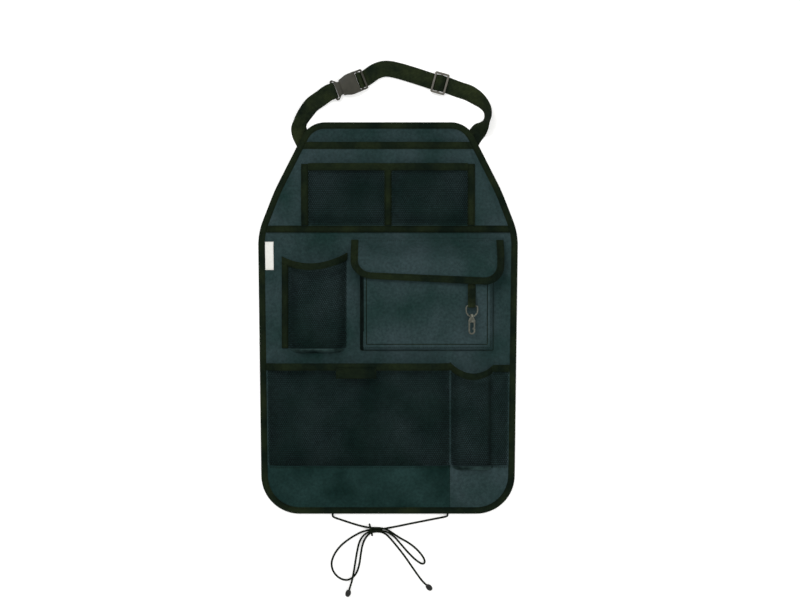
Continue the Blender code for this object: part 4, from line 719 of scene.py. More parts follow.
@dataclass
class Panel:
    """The back panel and its bound edge, which every pocket is sewn to."""

    length: float = 0.610
    bottom_width: float = 0.3935
    shoulder_width: float = 0.4050
    slope_width: float = 0.3544
    top_width: float = 0.2454
    shoulder_height: float = 0.4377
    slope_height: float = 0.5027
    radii: Tuple[float, ...] = (0.060, 0.105, 0.300, 0.040)
    thickness: float = 0.0015
    rim_ramp: float = 0.0055
    lift_start: float = 0.150
    lift_end: float = 0.250
    straights: Tuple[int, ...] = (24, 60, 4, 12, 24)
    arcs: Tuple[int, ...] = (18, 16, 8, 16)
    folds: Folds = (0.055, 3.0, 0.00022)
    outline: np.ndarray = field(init=False)
    bound: np.ndarray = field(init=False)

    def __post_init__(self) -> None:
        """Works out the outline and the line inside the binding."""
        self.outline = self.loop(0.0)
        self.bound = self.right_side(TAPE_WIDTH + GAP)

    def right_side(self, inset: float) -> np.ndarray:
        """Gives the right half of the outline moved inwards, bottom to top."""
        half = self.length / 2
        marks = [
            (0, -half), (self.bottom_width / 2, -half),
            (self.shoulder_width / 2, self.shoulder_height - half),
            (self.slope_width / 2, self.slope_height - half), (self.top_width / 2, half), (0, half),
        ]
        points = [Vector(m) for m in marks]
        line = [Vector((0, -half + inset))]
        for i in range(1, len(points) - 1):
            before = (points[i] - points[i - 1]).normalized()
            after = (points[i + 1] - points[i]).normalized()
            left, right = Vector((-before.y, before.x)), Vector((-after.y, after.x))
            corner = points[i] + (left + right) * (inset / (1 + left.dot(right)))
            radius, turn = self.radii[i - 1] - inset, before.angle(after)
            start = corner - before * radius * math.tan(turn / 2)
            line += [line[-1].lerp(start, k / self.straights[i - 1]) for k in range(1, self.straights[i - 1])]
            for k in range(self.arcs[i - 1] + 1):
                swing = turn * k / self.arcs[i - 1]
                line.append(start + before * radius * math.sin(swing) + left * radius * (1 - math.cos(swing)))
        top = Vector((0, half - inset))
        line += [line[-1].lerp(top, k / self.straights[-1]) for k in range(1, self.straights[-1] + 1)]
        return np.array([tuple(p) for p in line])

    def loop(self, inset: float) -> np.ndarray:
        """Gives the whole outline moved inwards, counter-clockwise from the bottom's middle."""
        right = self.right_side(inset)
        left = right[-2:0:-1] * (-1, 1)
        return np.concatenate([right, left])

    def half_width(self, y: np.ndarray, inset: Optional[float] = None) -> np.ndarray:
        """Gives half the width inside the binding, or at another inset, at a height."""
        side = self.bound if inset is None else self.right_side(inset)
        side = side[self.straights[0]:len(side) - self.straights[-1]]
        return np.interp(y, side[:, 1], side[:, 0])

    def edge_distance(self, x: np.ndarray, y: np.ndarray) -> np.ndarray:
        """Gives how far each place lies from the outline."""
        spots = np.stack([x, y], -1)
        nearest = np.full(x.shape, self.length)
        for start, end in zip(self.outline, np.roll(self.outline, -1, axis=0)):
            run = end - start
            share = np.clip(((spots - start) @ run) / (run @ run), 0, 1)
            nearest = np.minimum(nearest, np.linalg.norm(spots - start - share[..., None] * run, axis=-1))
        return nearest

    def strap_lift(self, y: np.ndarray) -> np.ndarray:
        """Gives how far the top leans up over the strap ends behind it."""
        return (WEBBING + GAP) * smooth((y - self.lift_start) / (self.lift_end - self.lift_start))

    def low(self, x: np.ndarray, y: np.ndarray) -> np.ndarray:
        """Gives the height of the panel's back."""
        rim = smooth((TAPE_WIDTH + 2 * GAP + self.rim_ramp - self.edge_distance(x, y)) / self.rim_ramp)
        return (TAPE + GAP) * rim + self.strap_lift(y)

    def on(self, x: np.ndarray, y: np.ndarray) -> np.ndarray:
        """Gives the lowest height for cloth that lies on the panel."""
        return self.low(x, y) + self.thickness + GAP

    def heights(self, inset: float, step: float) -> np.ndarray:
        """Spaces rows so that the rounded corners stay round."""
        foot, head = -self.length / 2 + inset, self.length / 2 - inset
        low = foot + (self.radii[0] - inset) * (1 - np.cos(np.linspace(0, math.pi / 2, 18)))
        high = head - (self.radii[-1] - inset) * (1 - np.cos(np.linspace(math.pi / 3, 0, 14)))
        between = np.linspace(low[-1], high[0], int((high[0] - low[-1]) / step) + 2)[1:-1]
        return np.concatenate([low, between, high])

    def grid(
        self, heights: np.ndarray, inset: float, fine: int, coarse: int
    ) -> Tuple[np.ndarray, np.ndarray]:
        """Gives places over the panel's full width at some heights."""
        wide = self.half_width(heights, inset)
        ramp = self.rim_ramp + TAPE_WIDTH + 2 * GAP
        x = np.stack([across(-w, w, (ramp, ramp), fine, coarse) for w in wide])
        return x, np.repeat(heights[:, None], x.shape[1], axis=1)

    def build(self, needle: "Needle") -> None:
        """Builds the panel's cloth and its binding."""
        x, y = self.grid(self.heights(TAPE + GAP, 0.0065), TAPE + GAP, 9, 64)
        inside = smooth((self.edge_distance(x, y) - 0.015) / 0.03)
        ease = drape(x, y, *self.folds) * inside
        cloth = Sheet(np.stack([x, y, self.low(x, y)], -1), self.thickness)
        made = cloth.solid("panel_cloth", SLATE_CLOTH)
        count = x.size
        co = np.zeros(len(made.data.vertices) * 3)
        made.data.vertices.foreach_get("co", co)
        co = co.reshape(-1, 3)
        co[count:, 2] += np.minimum(ease.ravel(), 0.0)
        made.data.vertices.foreach_set("co", co.ravel())
        settle(made, Rides.ORGANIZER, SLATE_CLOTH, "back_panel")
        high = self.thickness + 2 * (TAPE + GAP)
        curl = 0.0011
        section = [
            (TAPE_WIDTH, 0.0), (curl, 0.0), (curl * 0.3, curl * 0.3), (0.0, curl), (0.0, high - curl),
            (curl * 0.3, high - curl * 0.3), (curl, high), (0.0035, high + TAPE_CROWN),
            (0.0065, high + TAPE_CROWN), (TAPE_WIDTH - TAPE_BEVEL, high), (TAPE_WIDTH, high - TAPE_DROP),
            (TAPE_WIDTH, high - TAPE), (TAPE, high - TAPE), (TAPE, TAPE), (TAPE_WIDTH, TAPE),
        ]
        edge, back = self.loop(0.0), self.loop(TAPE_WIDTH)
        inward = unit(back - edge)
        lift = self.strap_lift(edge[:, 1])
        rings = []
        for inset, z in section:
            spots = edge + inward * inset
            rings.append(np.column_stack([spots, z + lift]))
        tape = sweep("edge_tape", np.stack(rings, axis=1), BINDING, closed=True)
        settle(tape, Rides.ORGANIZER, BINDING, "edge_binding")
        seam = edge + inward * (TAPE_WIDTH - SEAM_INSET)
        needle.sew(np.column_stack([seam, lift + high + LOW_THREAD_LIFT]), closed=True)


@dataclass
class Needle:
    """Collects every seam line and sews them all at once."""

    pitch: float = 0.0030
    stitch: float = 0.0023
    thread: float = 0.0007
    points: List[np.ndarray] = field(default_factory=list)
    edges: List[Tuple[int, int]] = field(default_factory=list)
    total: int = 0

    def sew(self, line: np.ndarray, closed: bool = False) -> None:
        """Adds a seam along a line of points."""
        last = self.total + len(line) - 1
        self.edges += [(i, i + 1) for i in range(self.total, last)]
        if closed:
            self.edges.append((last, self.total))
        self.points.append(line)
        self.total += len(line)

    def finish(self) -> None:
        """Turns the seam lines into thread."""
        mesh = bpy.data.meshes.new("seams")
        mesh.from_pydata(np.concatenate(self.points).tolist(), self.edges, [])
        lines = bpy.data.objects.new("seams", mesh)
        bpy.context.scene.collection.objects.link(lines)
        values = {
            "Stitch pitch": self.pitch, "Stitch length": self.stitch, "Thread width": self.thread,
            "Material": THREAD.material(),
        }
        settle(grow(lines, stitching_tree(), values, "stitching"), Rides.ORGANIZER, THREAD)


def fold(
    edge: np.ndarray, inner: np.ndarray, ups: Sequence[np.ndarray], low: float, dip: float, crown: np.ndarray
) -> np.ndarray:
    """Gives the sections of a tape folded over an edge.

    Args:
        edge: Places on the cloth's edge.
        inner: Places a tape's width inside it.
        ups: Normals at both.
        low: Height of the tape over the cloth's lower face.
        dip: How far the fold hangs below the edge.
        crown: Places on top of the tape's middle.

    Returns:
        Points by station and place round the section.
    """
    up, back = ups
    out, high = unit(edge - inner), low + TAPE
    section = [
        inner + back * low, edge + up * low + out * GAP, edge + out * GAP,
        edge + out * (GAP + TAPE * 0.6) - up * dip, edge + out * (GAP + TAPE) + up * TAPE_DROP,
        edge + out * (GAP + TAPE) + up * (high - TAPE * 0.6),
        edge + out * (GAP + TAPE * 0.45) + up * (high - TAPE * 0.1),
        edge - out * TAPE_BEVEL * 2 + up * (high + TAPE_SWELL), crown,
        inner + out * TAPE_BEVEL + back * high, inner + back * (high - TAPE_DROP),
    ]
    return np.stack(section, axis=1)


def hem(name: str, sheet: Sheet, needle: Needle, *nodes: str) -> bpy.types.Object:
    """Folds a tape over a sheet's last row and sews it.

    Args:
        name: The tape's name.
        sheet: A sheet whose last row but one lies a tape's width below its edge.
        needle: The needle that sews it.
        nodes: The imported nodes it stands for.

    Returns:
        The tape.
    """
    edge, inner = sheet.grid[-1], sheet.grid[-2]
    ups = sheet.normals()
    up, back = ups[-1], ups[-2]
    low, high = sheet.thickness + GAP, sheet.thickness + GAP + TAPE
    crown = (edge + inner) / 2 + unit(up + back) * (high + TAPE_CROWN)
    tape = sweep(name, fold(edge, inner, (up, back), low, TAPE_SWELL, crown), BINDING)
    settle(tape, Rides.ORGANIZER, BINDING, *nodes)
    needle.sew(inner + (edge - inner) * HEM_SEAM_SHARE + back * (high + THREAD_LIFT))
    return tape


def lay_tape(name: str, strip: Sheet, needle: Needle, lengthwise: bool, *nodes: str) -> bpy.types.Object:
    """Builds a flat tape from a strip of a sheet and sews both of its long edges.

    Args:
        name: The tape's name.
        strip: The strip it covers.
        needle: The needle that sews it.
        lengthwise: Whether the tape runs along the rows' direction from foot to edge.
        nodes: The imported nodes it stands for.

    Returns:
        The tape.
    """
    grid = strip.grid if lengthwise else strip.grid.transpose(1, 0, 2)[::-1]
    made = Sheet(grid, strip.thickness).solid(name, BINDING, crown=0.00025)
    settle(made, Rides.ORGANIZER, BINDING, *nodes)
    top = Sheet(grid, strip.thickness).raised(strip.thickness + THREAD_LIFT)
    for share in TAPE_SEAM_SHARES:
        place = share * (grid.shape[1] - 1)
        first = int(place)
        part = place - first
        needle.sew(top[:, first] * (1 - part) + top[:, min(first + 1, grid.shape[1] - 1)] * part)
    return made


def tube(line: np.ndarray, radius: float, sides: int) -> np.ndarray:
    """Gives round sections along a line of points, by station and place round the section."""
    along = unit(np.gradient(line, axis=0))
    side = unit(np.cross(along, (0, 0, 1)))
    up = np.cross(side, along)
    turns = np.linspace(0, 2 * math.pi, sides + 1)[:-1]
    return np.stack([line + (side * math.cos(a) + up * math.sin(a)) * radius for a in turns], axis=1)


def pipe(name: str, line: np.ndarray, radius: float) -> bpy.types.Object:
    """Lays thin round dark piping along a line, which stands for painted shade.

    Args:
        name: The piping's name.
        line: The points along its middle.
        radius: Half its thickness.

    Returns:
        The piping.
    """
    return settle(sweep(name, tube(line, radius, 8), BINDING), Rides.ORGANIZER, BINDING)


@dataclass
class UpperPockets:
    """The map pocket across the top and the two card nets on its front."""

    panel: Panel
    map_setback: float = 0.032
    map_depth: float = 0.0054
    map_ramp: float = 0.010
    cross_y: float = 0.1330
    cross_width: float = 0.0110
    card_width: float = 0.271
    card_top: float = 0.2397
    card_depth: float = 0.0056
    card_ramp: float = 0.014
    card_tape: float = 0.0115
    divider: float = 0.011
    rise: float = 0.024
    map_folds: Folds = (0.034, 7.0, 0.0007)
    card_folds: Folds = (0.040, 12.0, 0.0009)

    def opened(self, y: np.ndarray) -> np.ndarray:
        """Gives how far the pockets have opened at a height."""
        return smooth((y - self.cross_y - self.cross_width - GAP) / self.rise)

    def build_map(self, needle: Needle) -> None:
        """Builds the map pocket's front, its hem and the tape across its foot."""
        foot, top = self.cross_y + GAP, self.panel.length / 2 - self.map_setback
        foot_rows = np.linspace(foot, self.cross_y + self.cross_width, 3)
        y = np.concatenate([foot_rows, np.linspace(foot_rows[-1], top - TAPE_WIDTH, 40)[1:], [top]])
        wide = self.panel.half_width(y)
        x = np.stack([across(-w, w, (self.map_ramp, self.map_ramp), 9, 70) for w in wide])
        y = np.repeat(y[:, None], x.shape[1], axis=1)
        side = smooth((wide[:, None] - np.abs(x)) / self.map_ramp)
        slack = self.opened(y) * side
        above = smooth((y - self.card_top) / 0.02)
        folds = drape(x, y * 0.35, *self.map_folds) * above * slack
        z = self.panel.on(x, y) + self.map_depth * slack + folds
        sheet = Sheet(np.stack([x, y, z], -1), FABRIC)
        cloth = sheet.solid("map_pocket_cloth", SLATE_CLOTH)
        settle(cloth, Rides.ORGANIZER, SLATE_CLOTH, "map_pocket_front")
        hem("map_hem_tape", sheet, needle, "map_pocket_hem")
        strip = sheet.strip(slice(0, 3), slice(None), FABRIC + GAP, TAPE)
        lay_tape("cross_tape_band", strip, needle, False, "cross_tape")

    def build_cards(self, needle: Needle, tree: bpy.types.NodeTree) -> None:
        """Builds the card net, which runs under the divider, with its hem and tapes."""
        inner, start = self.card_width / 2 - self.card_tape, self.divider / 2
        foot = self.cross_y + self.cross_width + 2 * GAP
        pinned = self.card_width / 2 - GAP
        level, falling = start + self.card_ramp, inner - self.card_ramp
        side = np.concatenate([
            np.linspace(start, level, 9), np.linspace(level, falling, 30)[1:],
            np.linspace(falling, inner, 9)[1:], np.linspace(inner, pinned, 4)[1:],
        ])
        x = np.concatenate([-side[::-1], [0.0], side])
        y = np.concatenate([np.linspace(foot, self.card_top - TAPE_WIDTH, 36), [self.card_top]])
        x, y = np.meshgrid(x, y)
        bulge = hump(np.abs(x), start, inner, self.card_ramp, self.card_ramp)
        sag = drape(x, y, *self.card_folds) * bulge * self.opened(y)
        base = self.panel.thickness + GAP + FABRIC + GAP + self.panel.strap_lift(y)
        z = base + (self.map_depth + self.card_depth * bulge) * self.opened(y) + sag
        sheet = Sheet(np.stack([x, y, z], -1), NET)
        count = len(side)
        net = sheet.netting("card_netting", tree)
        settle(net, Rides.ORGANIZER, NET_YARN, "card_net")
        hem_sheet = Sheet(sheet.grid[:, 3:-3], NET)
        hem("card_hem_tape", hem_sheet, needle, "card_net_hem")
        for name, columns in (("left", slice(0, 4)), ("right", slice(-4, None))):
            strip = sheet.strip(slice(None), columns, NET + GAP, TAPE)
            lay_tape(f"card_{name}_tape", strip, needle, True, f"card_tape_{name}")
        strip = sheet.strip(slice(0, -1), slice(count - 1, count + 2), NET + GAP, TAPE)
        lay_tape("card_middle_tape", strip, needle, True, "card_tape_divider")


def base_strip(name: str, sheet: Sheet, panel: Panel, columns: slice, over: float, *nodes: str) -> None:
    """Builds the slanting piece that closes the foot of a bottle net, with a crumpled fold.

    Args:
        name: The object's name.
        sheet: The net.
        panel: The panel below.
        columns: The net's columns that it spans.
        over: How much higher than the panel its foot lies.
        nodes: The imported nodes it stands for.
    """
    edge = sheet.grid[0, columns] - (0, GAP * 2, 0)
    height = edge[:, 2] - panel.on(edge[:, 0], edge[:, 1])
    reach = 0.0065 * (0.3 + 0.7 * np.clip(height / 0.018 / 0.7, 0, 1))
    foot = edge.copy()
    foot[:, 1] -= reach
    foot[:, 2] = panel.on(foot[:, 0], foot[:, 1]) + over
    shares = np.linspace(0, 1, 8)[:, None, None]
    grid = foot[None] * (1 - shares) + edge[None] * shares
    belly = np.sin(shares[..., 0] * math.pi)
    crumple = drape(grid[..., 0], grid[..., 2] * 2, *GUSSET_FOLDS)
    grid[..., 1] += (crumple - 0.0004) * belly
    # The base wears the copy of the cloth painted with highlights and shade in patches
    made = Sheet(grid, FABRIC).solid(name, FOOT_LIGHT_AND_SHADE_CLOTH)
    settle(made, Rides.ORGANIZER, FOOT_LIGHT_AND_SHADE_CLOTH, *nodes)


@dataclass
class BottlePocket:
    """The net pocket on the left, gathered at its foot."""

    panel: Panel
    left: float = -0.1654
    right: float = -0.0638
    bottom: float = -0.0470
    top_left: float = 0.0950
    top_right: float = 0.1012
    sag: float = 0.0140
    depth: float = 0.0180
    ramp: float = 0.020
    base_share: float = 0.7
    base_rise: float = 0.030
    folds: Folds = (0.030, 31.0, 0.0022)

    def build(self, needle: Needle, tree: bpy.types.NodeTree) -> None:
        """Builds the net, its hem, its side tape and its base."""
        pinned = self.left + TAPE_WIDTH
        pinned_columns = np.linspace(self.left, pinned, 4)
        free_columns = across(pinned, self.right, (self.ramp, self.ramp), 10, 22)
        columns = np.concatenate([pinned_columns[:-1], free_columns])
        long = self.top_left - self.bottom
        shares = np.concatenate([np.linspace(0, 1 - TAPE_WIDTH / long, 44), [1.0]])
        x = np.repeat(columns[None], len(shares), axis=0)
        u = (x - self.left) / (self.right - self.left)
        top = mix(self.top_left, self.top_right, u) - self.sag * 4 * u * (1 - u)
        y = mix(self.bottom, top, shares[:, None])
        opened = mix(self.base_share, 1.0, smooth((y - self.bottom) / self.base_rise))
        bulge = hump(x, pinned, self.right, self.ramp, self.ramp)
        crush = drape(x, y, *self.folds) * bulge
        z = self.panel.on(x, y) + self.depth * opened * bulge + np.minimum(crush, 0.0006)
        sheet = Sheet(np.stack([x, y, z], -1), NET)
        net = sheet.netting("bottle_netting", tree)
        settle(net, Rides.ORGANIZER, NET_YARN, "bottle_net")
        hem("bottle_hem_tape", sheet, needle, "bottle_net_hem")
        strip = sheet.strip(slice(0, -1), slice(0, 4), NET + GAP, TAPE)
        lay_tape("bottle_side_tape", strip, needle, True, "bottle_net_tape")
        base_strip("bottle_base_cloth", sheet, self.panel, slice(5, -3), 0.0, "bottle_net_base")


@dataclass
class FlapPocket:
    """The fabric pocket with a bound flap, and the touch fastener between them."""

    panel: Panel
    left: float = -0.0425
    right: float = 0.1634
    bottom: float = -0.0497
    top: float = 0.0872
    depth: float = 0.0190
    foot_depth: float = 0.0070
    gusset: float = 0.0090
    flap_left: float = -0.0560
    flap_right: float = 0.1789
    flap_top: float = 0.1238
    flap_bottom: float = 0.0545
    flap_radius: float = 0.030
    flap_slant: float = 0.012
    level_share: float = 0.75
    droop: float = 0.45
    droop_width: float = 0.020
    fastener: float = 0.0012
    fastener_size: Tuple[float, float] = (0.060, 0.018)
    pocket_folds: Folds = (0.048, 41.0, 0.0012)
    flap_folds: Folds = (0.045, 51.0, 0.0009)

    def pocket_depth(self, y: np.ndarray) -> np.ndarray:
        """Gives the pocket's depth at a height."""
        return mix(self.foot_depth, self.depth, (y - self.bottom) / (self.top - self.bottom))

    def on_pocket(self, y: np.ndarray) -> np.ndarray:
        """Gives the lowest height for a thing that lies on the pocket's front."""
        return self.panel.thickness + GAP + self.pocket_depth(y) + FABRIC + GAP

    def build_pocket(self, needle: Needle) -> None:
        """Builds the pocket's front with its steep folded sides."""

        def ease(value: np.ndarray) -> np.ndarray:
            """Rises fast and levels out."""
            return 1 - (1 - np.clip(value, 0, 1)) ** 3

        rows = np.concatenate([
            self.bottom + self.gusset * np.linspace(0, 1, 11) ** 1.4,
            np.linspace(self.bottom + self.gusset, self.top, 40)[1:],
        ])
        offsets = self.gusset * np.linspace(0, 1, 11) ** 1.4
        middle = np.linspace(self.left + self.gusset, self.right - self.gusset, 60)[1:-1]
        columns = np.concatenate([self.left + offsets, middle, (self.right - offsets)[::-1]])
        x, y = np.meshgrid(columns, rows)
        side = ease((x - self.left) / self.gusset) * ease((self.right - x) / self.gusset)
        foot = ease((y - self.bottom) / self.gusset)
        calm = hump(x, self.left, self.right, 0.03, 0.03) * hump(y, self.bottom, self.top + 0.03, 0.03, 0.03)
        dent = np.minimum(drape(x, y, *self.pocket_folds), 0.0) * calm
        z = self.panel.thickness + GAP + (self.pocket_depth(y) + dent) * foot * side
        sheet = Sheet(np.stack([x, y, z], -1), FABRIC)
        cloth = sheet.solid("flap_pocket_cloth", SLATE_CLOTH)
        # The left half of the left gusset wears the copy of the cloth painted near black: painted shade behind
        # the pocket's edge
        cloth.data.materials.append(LEFT_SIDE_SHADE_CLOTH.material())
        for face in cloth.data.polygons:
            face.material_index = int(face.center.x < self.left + self.gusset * 0.5)
        settle(cloth, Rides.ORGANIZER, SLATE_CLOTH, "flap_pocket_front")
        top = sheet.raised(FABRIC)
        # Dark piping at the gusset's top edge and at the foot: painted shade for the thin shadow lines along
        # the pocket's edges
        for name, k, radius in (("front", 10, 0.0006), ("foot", 0, 0.0004)):
            rim = np.concatenate([top[:k:-1, k], top[k, k:len(columns) - k], top[k + 1:, -k - 1]])
            pipe(f"flap_pocket_{name}_shade_piping", rim, radius)
        seam = np.concatenate([top[:0:-1, 6], top[6, 6:-6], top[6:, -7]])
        needle.sew(seam + (0, 0, LOW_THREAD_LIFT))

    def flap_low(self, x: np.ndarray, y: np.ndarray) -> np.ndarray:
        """Gives the height of the flap's lower face."""
        base = self.panel.thickness + GAP
        clearance = 2 * self.fastener + 3 * GAP + 0.0003
        lying = self.on_pocket(np.minimum(y, self.top)) + clearance - GAP - base
        rise = 1 - smooth((y - self.top - 0.003) / (self.flap_top - self.top - 0.003))
        beyond = np.maximum(np.maximum(self.left + 0.006 - x, x - self.right + 0.006), 0.0) / self.droop_width
        return base + lying * rise * (1 - self.droop * beyond * beyond)

    def slanted(self, x: np.ndarray, y: np.ndarray) -> np.ndarray:
        """Moves heights on the flap so that its free edge slants down to the right."""
        along = (x - self.flap_left) / (self.flap_right - self.flap_left)
        down = (self.flap_top - y) / (self.flap_top - self.flap_bottom)
        return y + self.flap_slant * (self.level_share - along) * down

    def flap_up(self, x: np.ndarray, y: np.ndarray) -> np.ndarray:
        """Gives the flap's normal."""
        step = 0.0005
        slope_x = (self.flap_low(x + step, y) - self.flap_low(x - step, y)) / (2 * step)
        slope_y = (self.flap_low(x, y + step) - self.flap_low(x, y - step)) / (2 * step)
        return unit(np.stack([-slope_x, -slope_y, np.ones_like(slope_x)], -1))

    def on_flap(self, plan: np.ndarray, height: float) -> np.ndarray:
        """Gives points at a height above the flap's lower face."""
        x, y = plan[:, 0], plan[:, 1]
        return np.stack([x, y, self.flap_low(x, y)], -1) + self.flap_up(x, y) * height

    def flap_path(self, inset: float) -> np.ndarray:
        """Gives the flap's free edge in plan, from its top left round to its top right."""
        left, right, bottom = self.flap_left + inset, self.flap_right - inset, self.flap_bottom + inset
        radius = self.flap_radius - inset
        top = self.flap_top - 0.0006
        side = np.linspace(top, self.flap_bottom + self.flap_radius, 22)[:-1]
        swing = np.linspace(0, math.pi / 2, 14)
        bend = np.stack([1 - np.cos(swing), 1 - np.sin(swing)], -1)
        round_left = bend * radius + (left, bottom)
        flat = np.linspace(left + radius, right - radius, 50)[1:-1]
        round_right = round_left[::-1] * (-1, 1) + (left + right, 0)
        path = np.concatenate([
            np.stack([np.full_like(side, left), side], -1), round_left,
            np.stack([flat, np.full_like(flat, bottom)], -1), round_right,
            np.stack([np.full_like(side, right), side[::-1]], -1),
        ])
        path[:, 1] = self.slanted(path[:, 0], path[:, 1])
        return path

    def build_flap(self, needle: Needle) -> None:
        """Builds the flap and the tape round its free edge."""
        radius = self.flap_radius
        bend = radius * (1 - np.cos(np.linspace(0, math.pi / 2, 16)))
        middle = np.linspace(self.flap_left + radius, self.flap_right - radius, 60)[1:-1]
        columns = np.concatenate([self.flap_left + bend, middle, (self.flap_right - bend)[::-1]])
        beyond = np.maximum(self.flap_left + radius - columns, columns - self.flap_right + radius)
        into = np.maximum(beyond, 0.0)
        foot = self.flap_bottom + radius - np.sqrt(np.maximum(radius * radius - into * into, 0.0))
        shares = np.linspace(0, 1, 34)
        y = foot[None] + (self.flap_top - foot[None]) * shares[:, None]
        x = np.repeat(columns[None], len(shares), axis=0)
        calm = smooth((y - foot[None]) / 0.02) * smooth((self.flap_top - y) / 0.02)
        y = self.slanted(x, y)
        ups = self.flap_up(x, y)
        pucker = np.maximum(drape(x, y, *self.flap_folds), 0.0) * calm
        grid = np.stack([x, y, self.flap_low(x, y) + pucker], -1)
        points = np.concatenate([grid.reshape(-1, 3), (grid + ups * FABRIC).reshape(-1, 3)])
        made = Sheet(grid, FABRIC).solid("flap_cloth", SLATE_CLOTH)
        made.data.vertices.foreach_set("co", points.ravel())
        settle(made, Rides.ORGANIZER, SLATE_CLOTH, "flap")
        edge_plan, inner_plan = self.flap_path(0.0), self.flap_path(TAPE_WIDTH)
        edge, inner = self.on_flap(edge_plan, 0.0), self.on_flap(inner_plan, 0.0)
        normals = [self.flap_up(plan[:, 0], plan[:, 1]) for plan in (edge_plan, inner_plan)]
        low, high = FABRIC + 2 * GAP, FABRIC + 2 * GAP + TAPE
        crown = self.on_flap((edge_plan + inner_plan) / 2, high + TAPE_CROWN)
        tape = sweep("flap_edge_tape", fold(edge, inner, normals, low, 0.0, crown)[1:-1], BINDING)
        settle(tape, Rides.ORGANIZER, BINDING, "flap_binding")
        seam = self.flap_path(TAPE_WIDTH - SEAM_INSET)
        needle.sew(self.on_flap(seam, high + THREAD_LIFT)[2:-2])
        inset = 0.004
        fixed = np.linspace(self.flap_left + inset, self.flap_right - inset, 40)
        top_seam = np.stack([fixed, np.full_like(fixed, self.flap_top - inset)], -1)
        needle.sew(self.on_flap(top_seam, FABRIC + THREAD_LIFT))

    def build_fasteners(self) -> None:
        """Builds the two strips of the touch fastener."""
        long, wide = self.fastener_size
        left = (self.left + self.right) / 2 - long / 2 - 0.010
        high = self.top - 0.004
        x, y = np.meshgrid(np.linspace(left, left + long, 30), np.linspace(high - wide, high, 10))
        for name, lift in (("loop", 0.0), ("hook", self.fastener + GAP)):
            sheet = Sheet(np.stack([x, y, self.on_pocket(y) + lift], -1), self.fastener)
            strip = sheet.solid(f"{name}_tape_patch", PILE, crown=0.0003)
            settle(strip, Rides.ORGANIZER, PILE, f"fastener_{name}_strip")


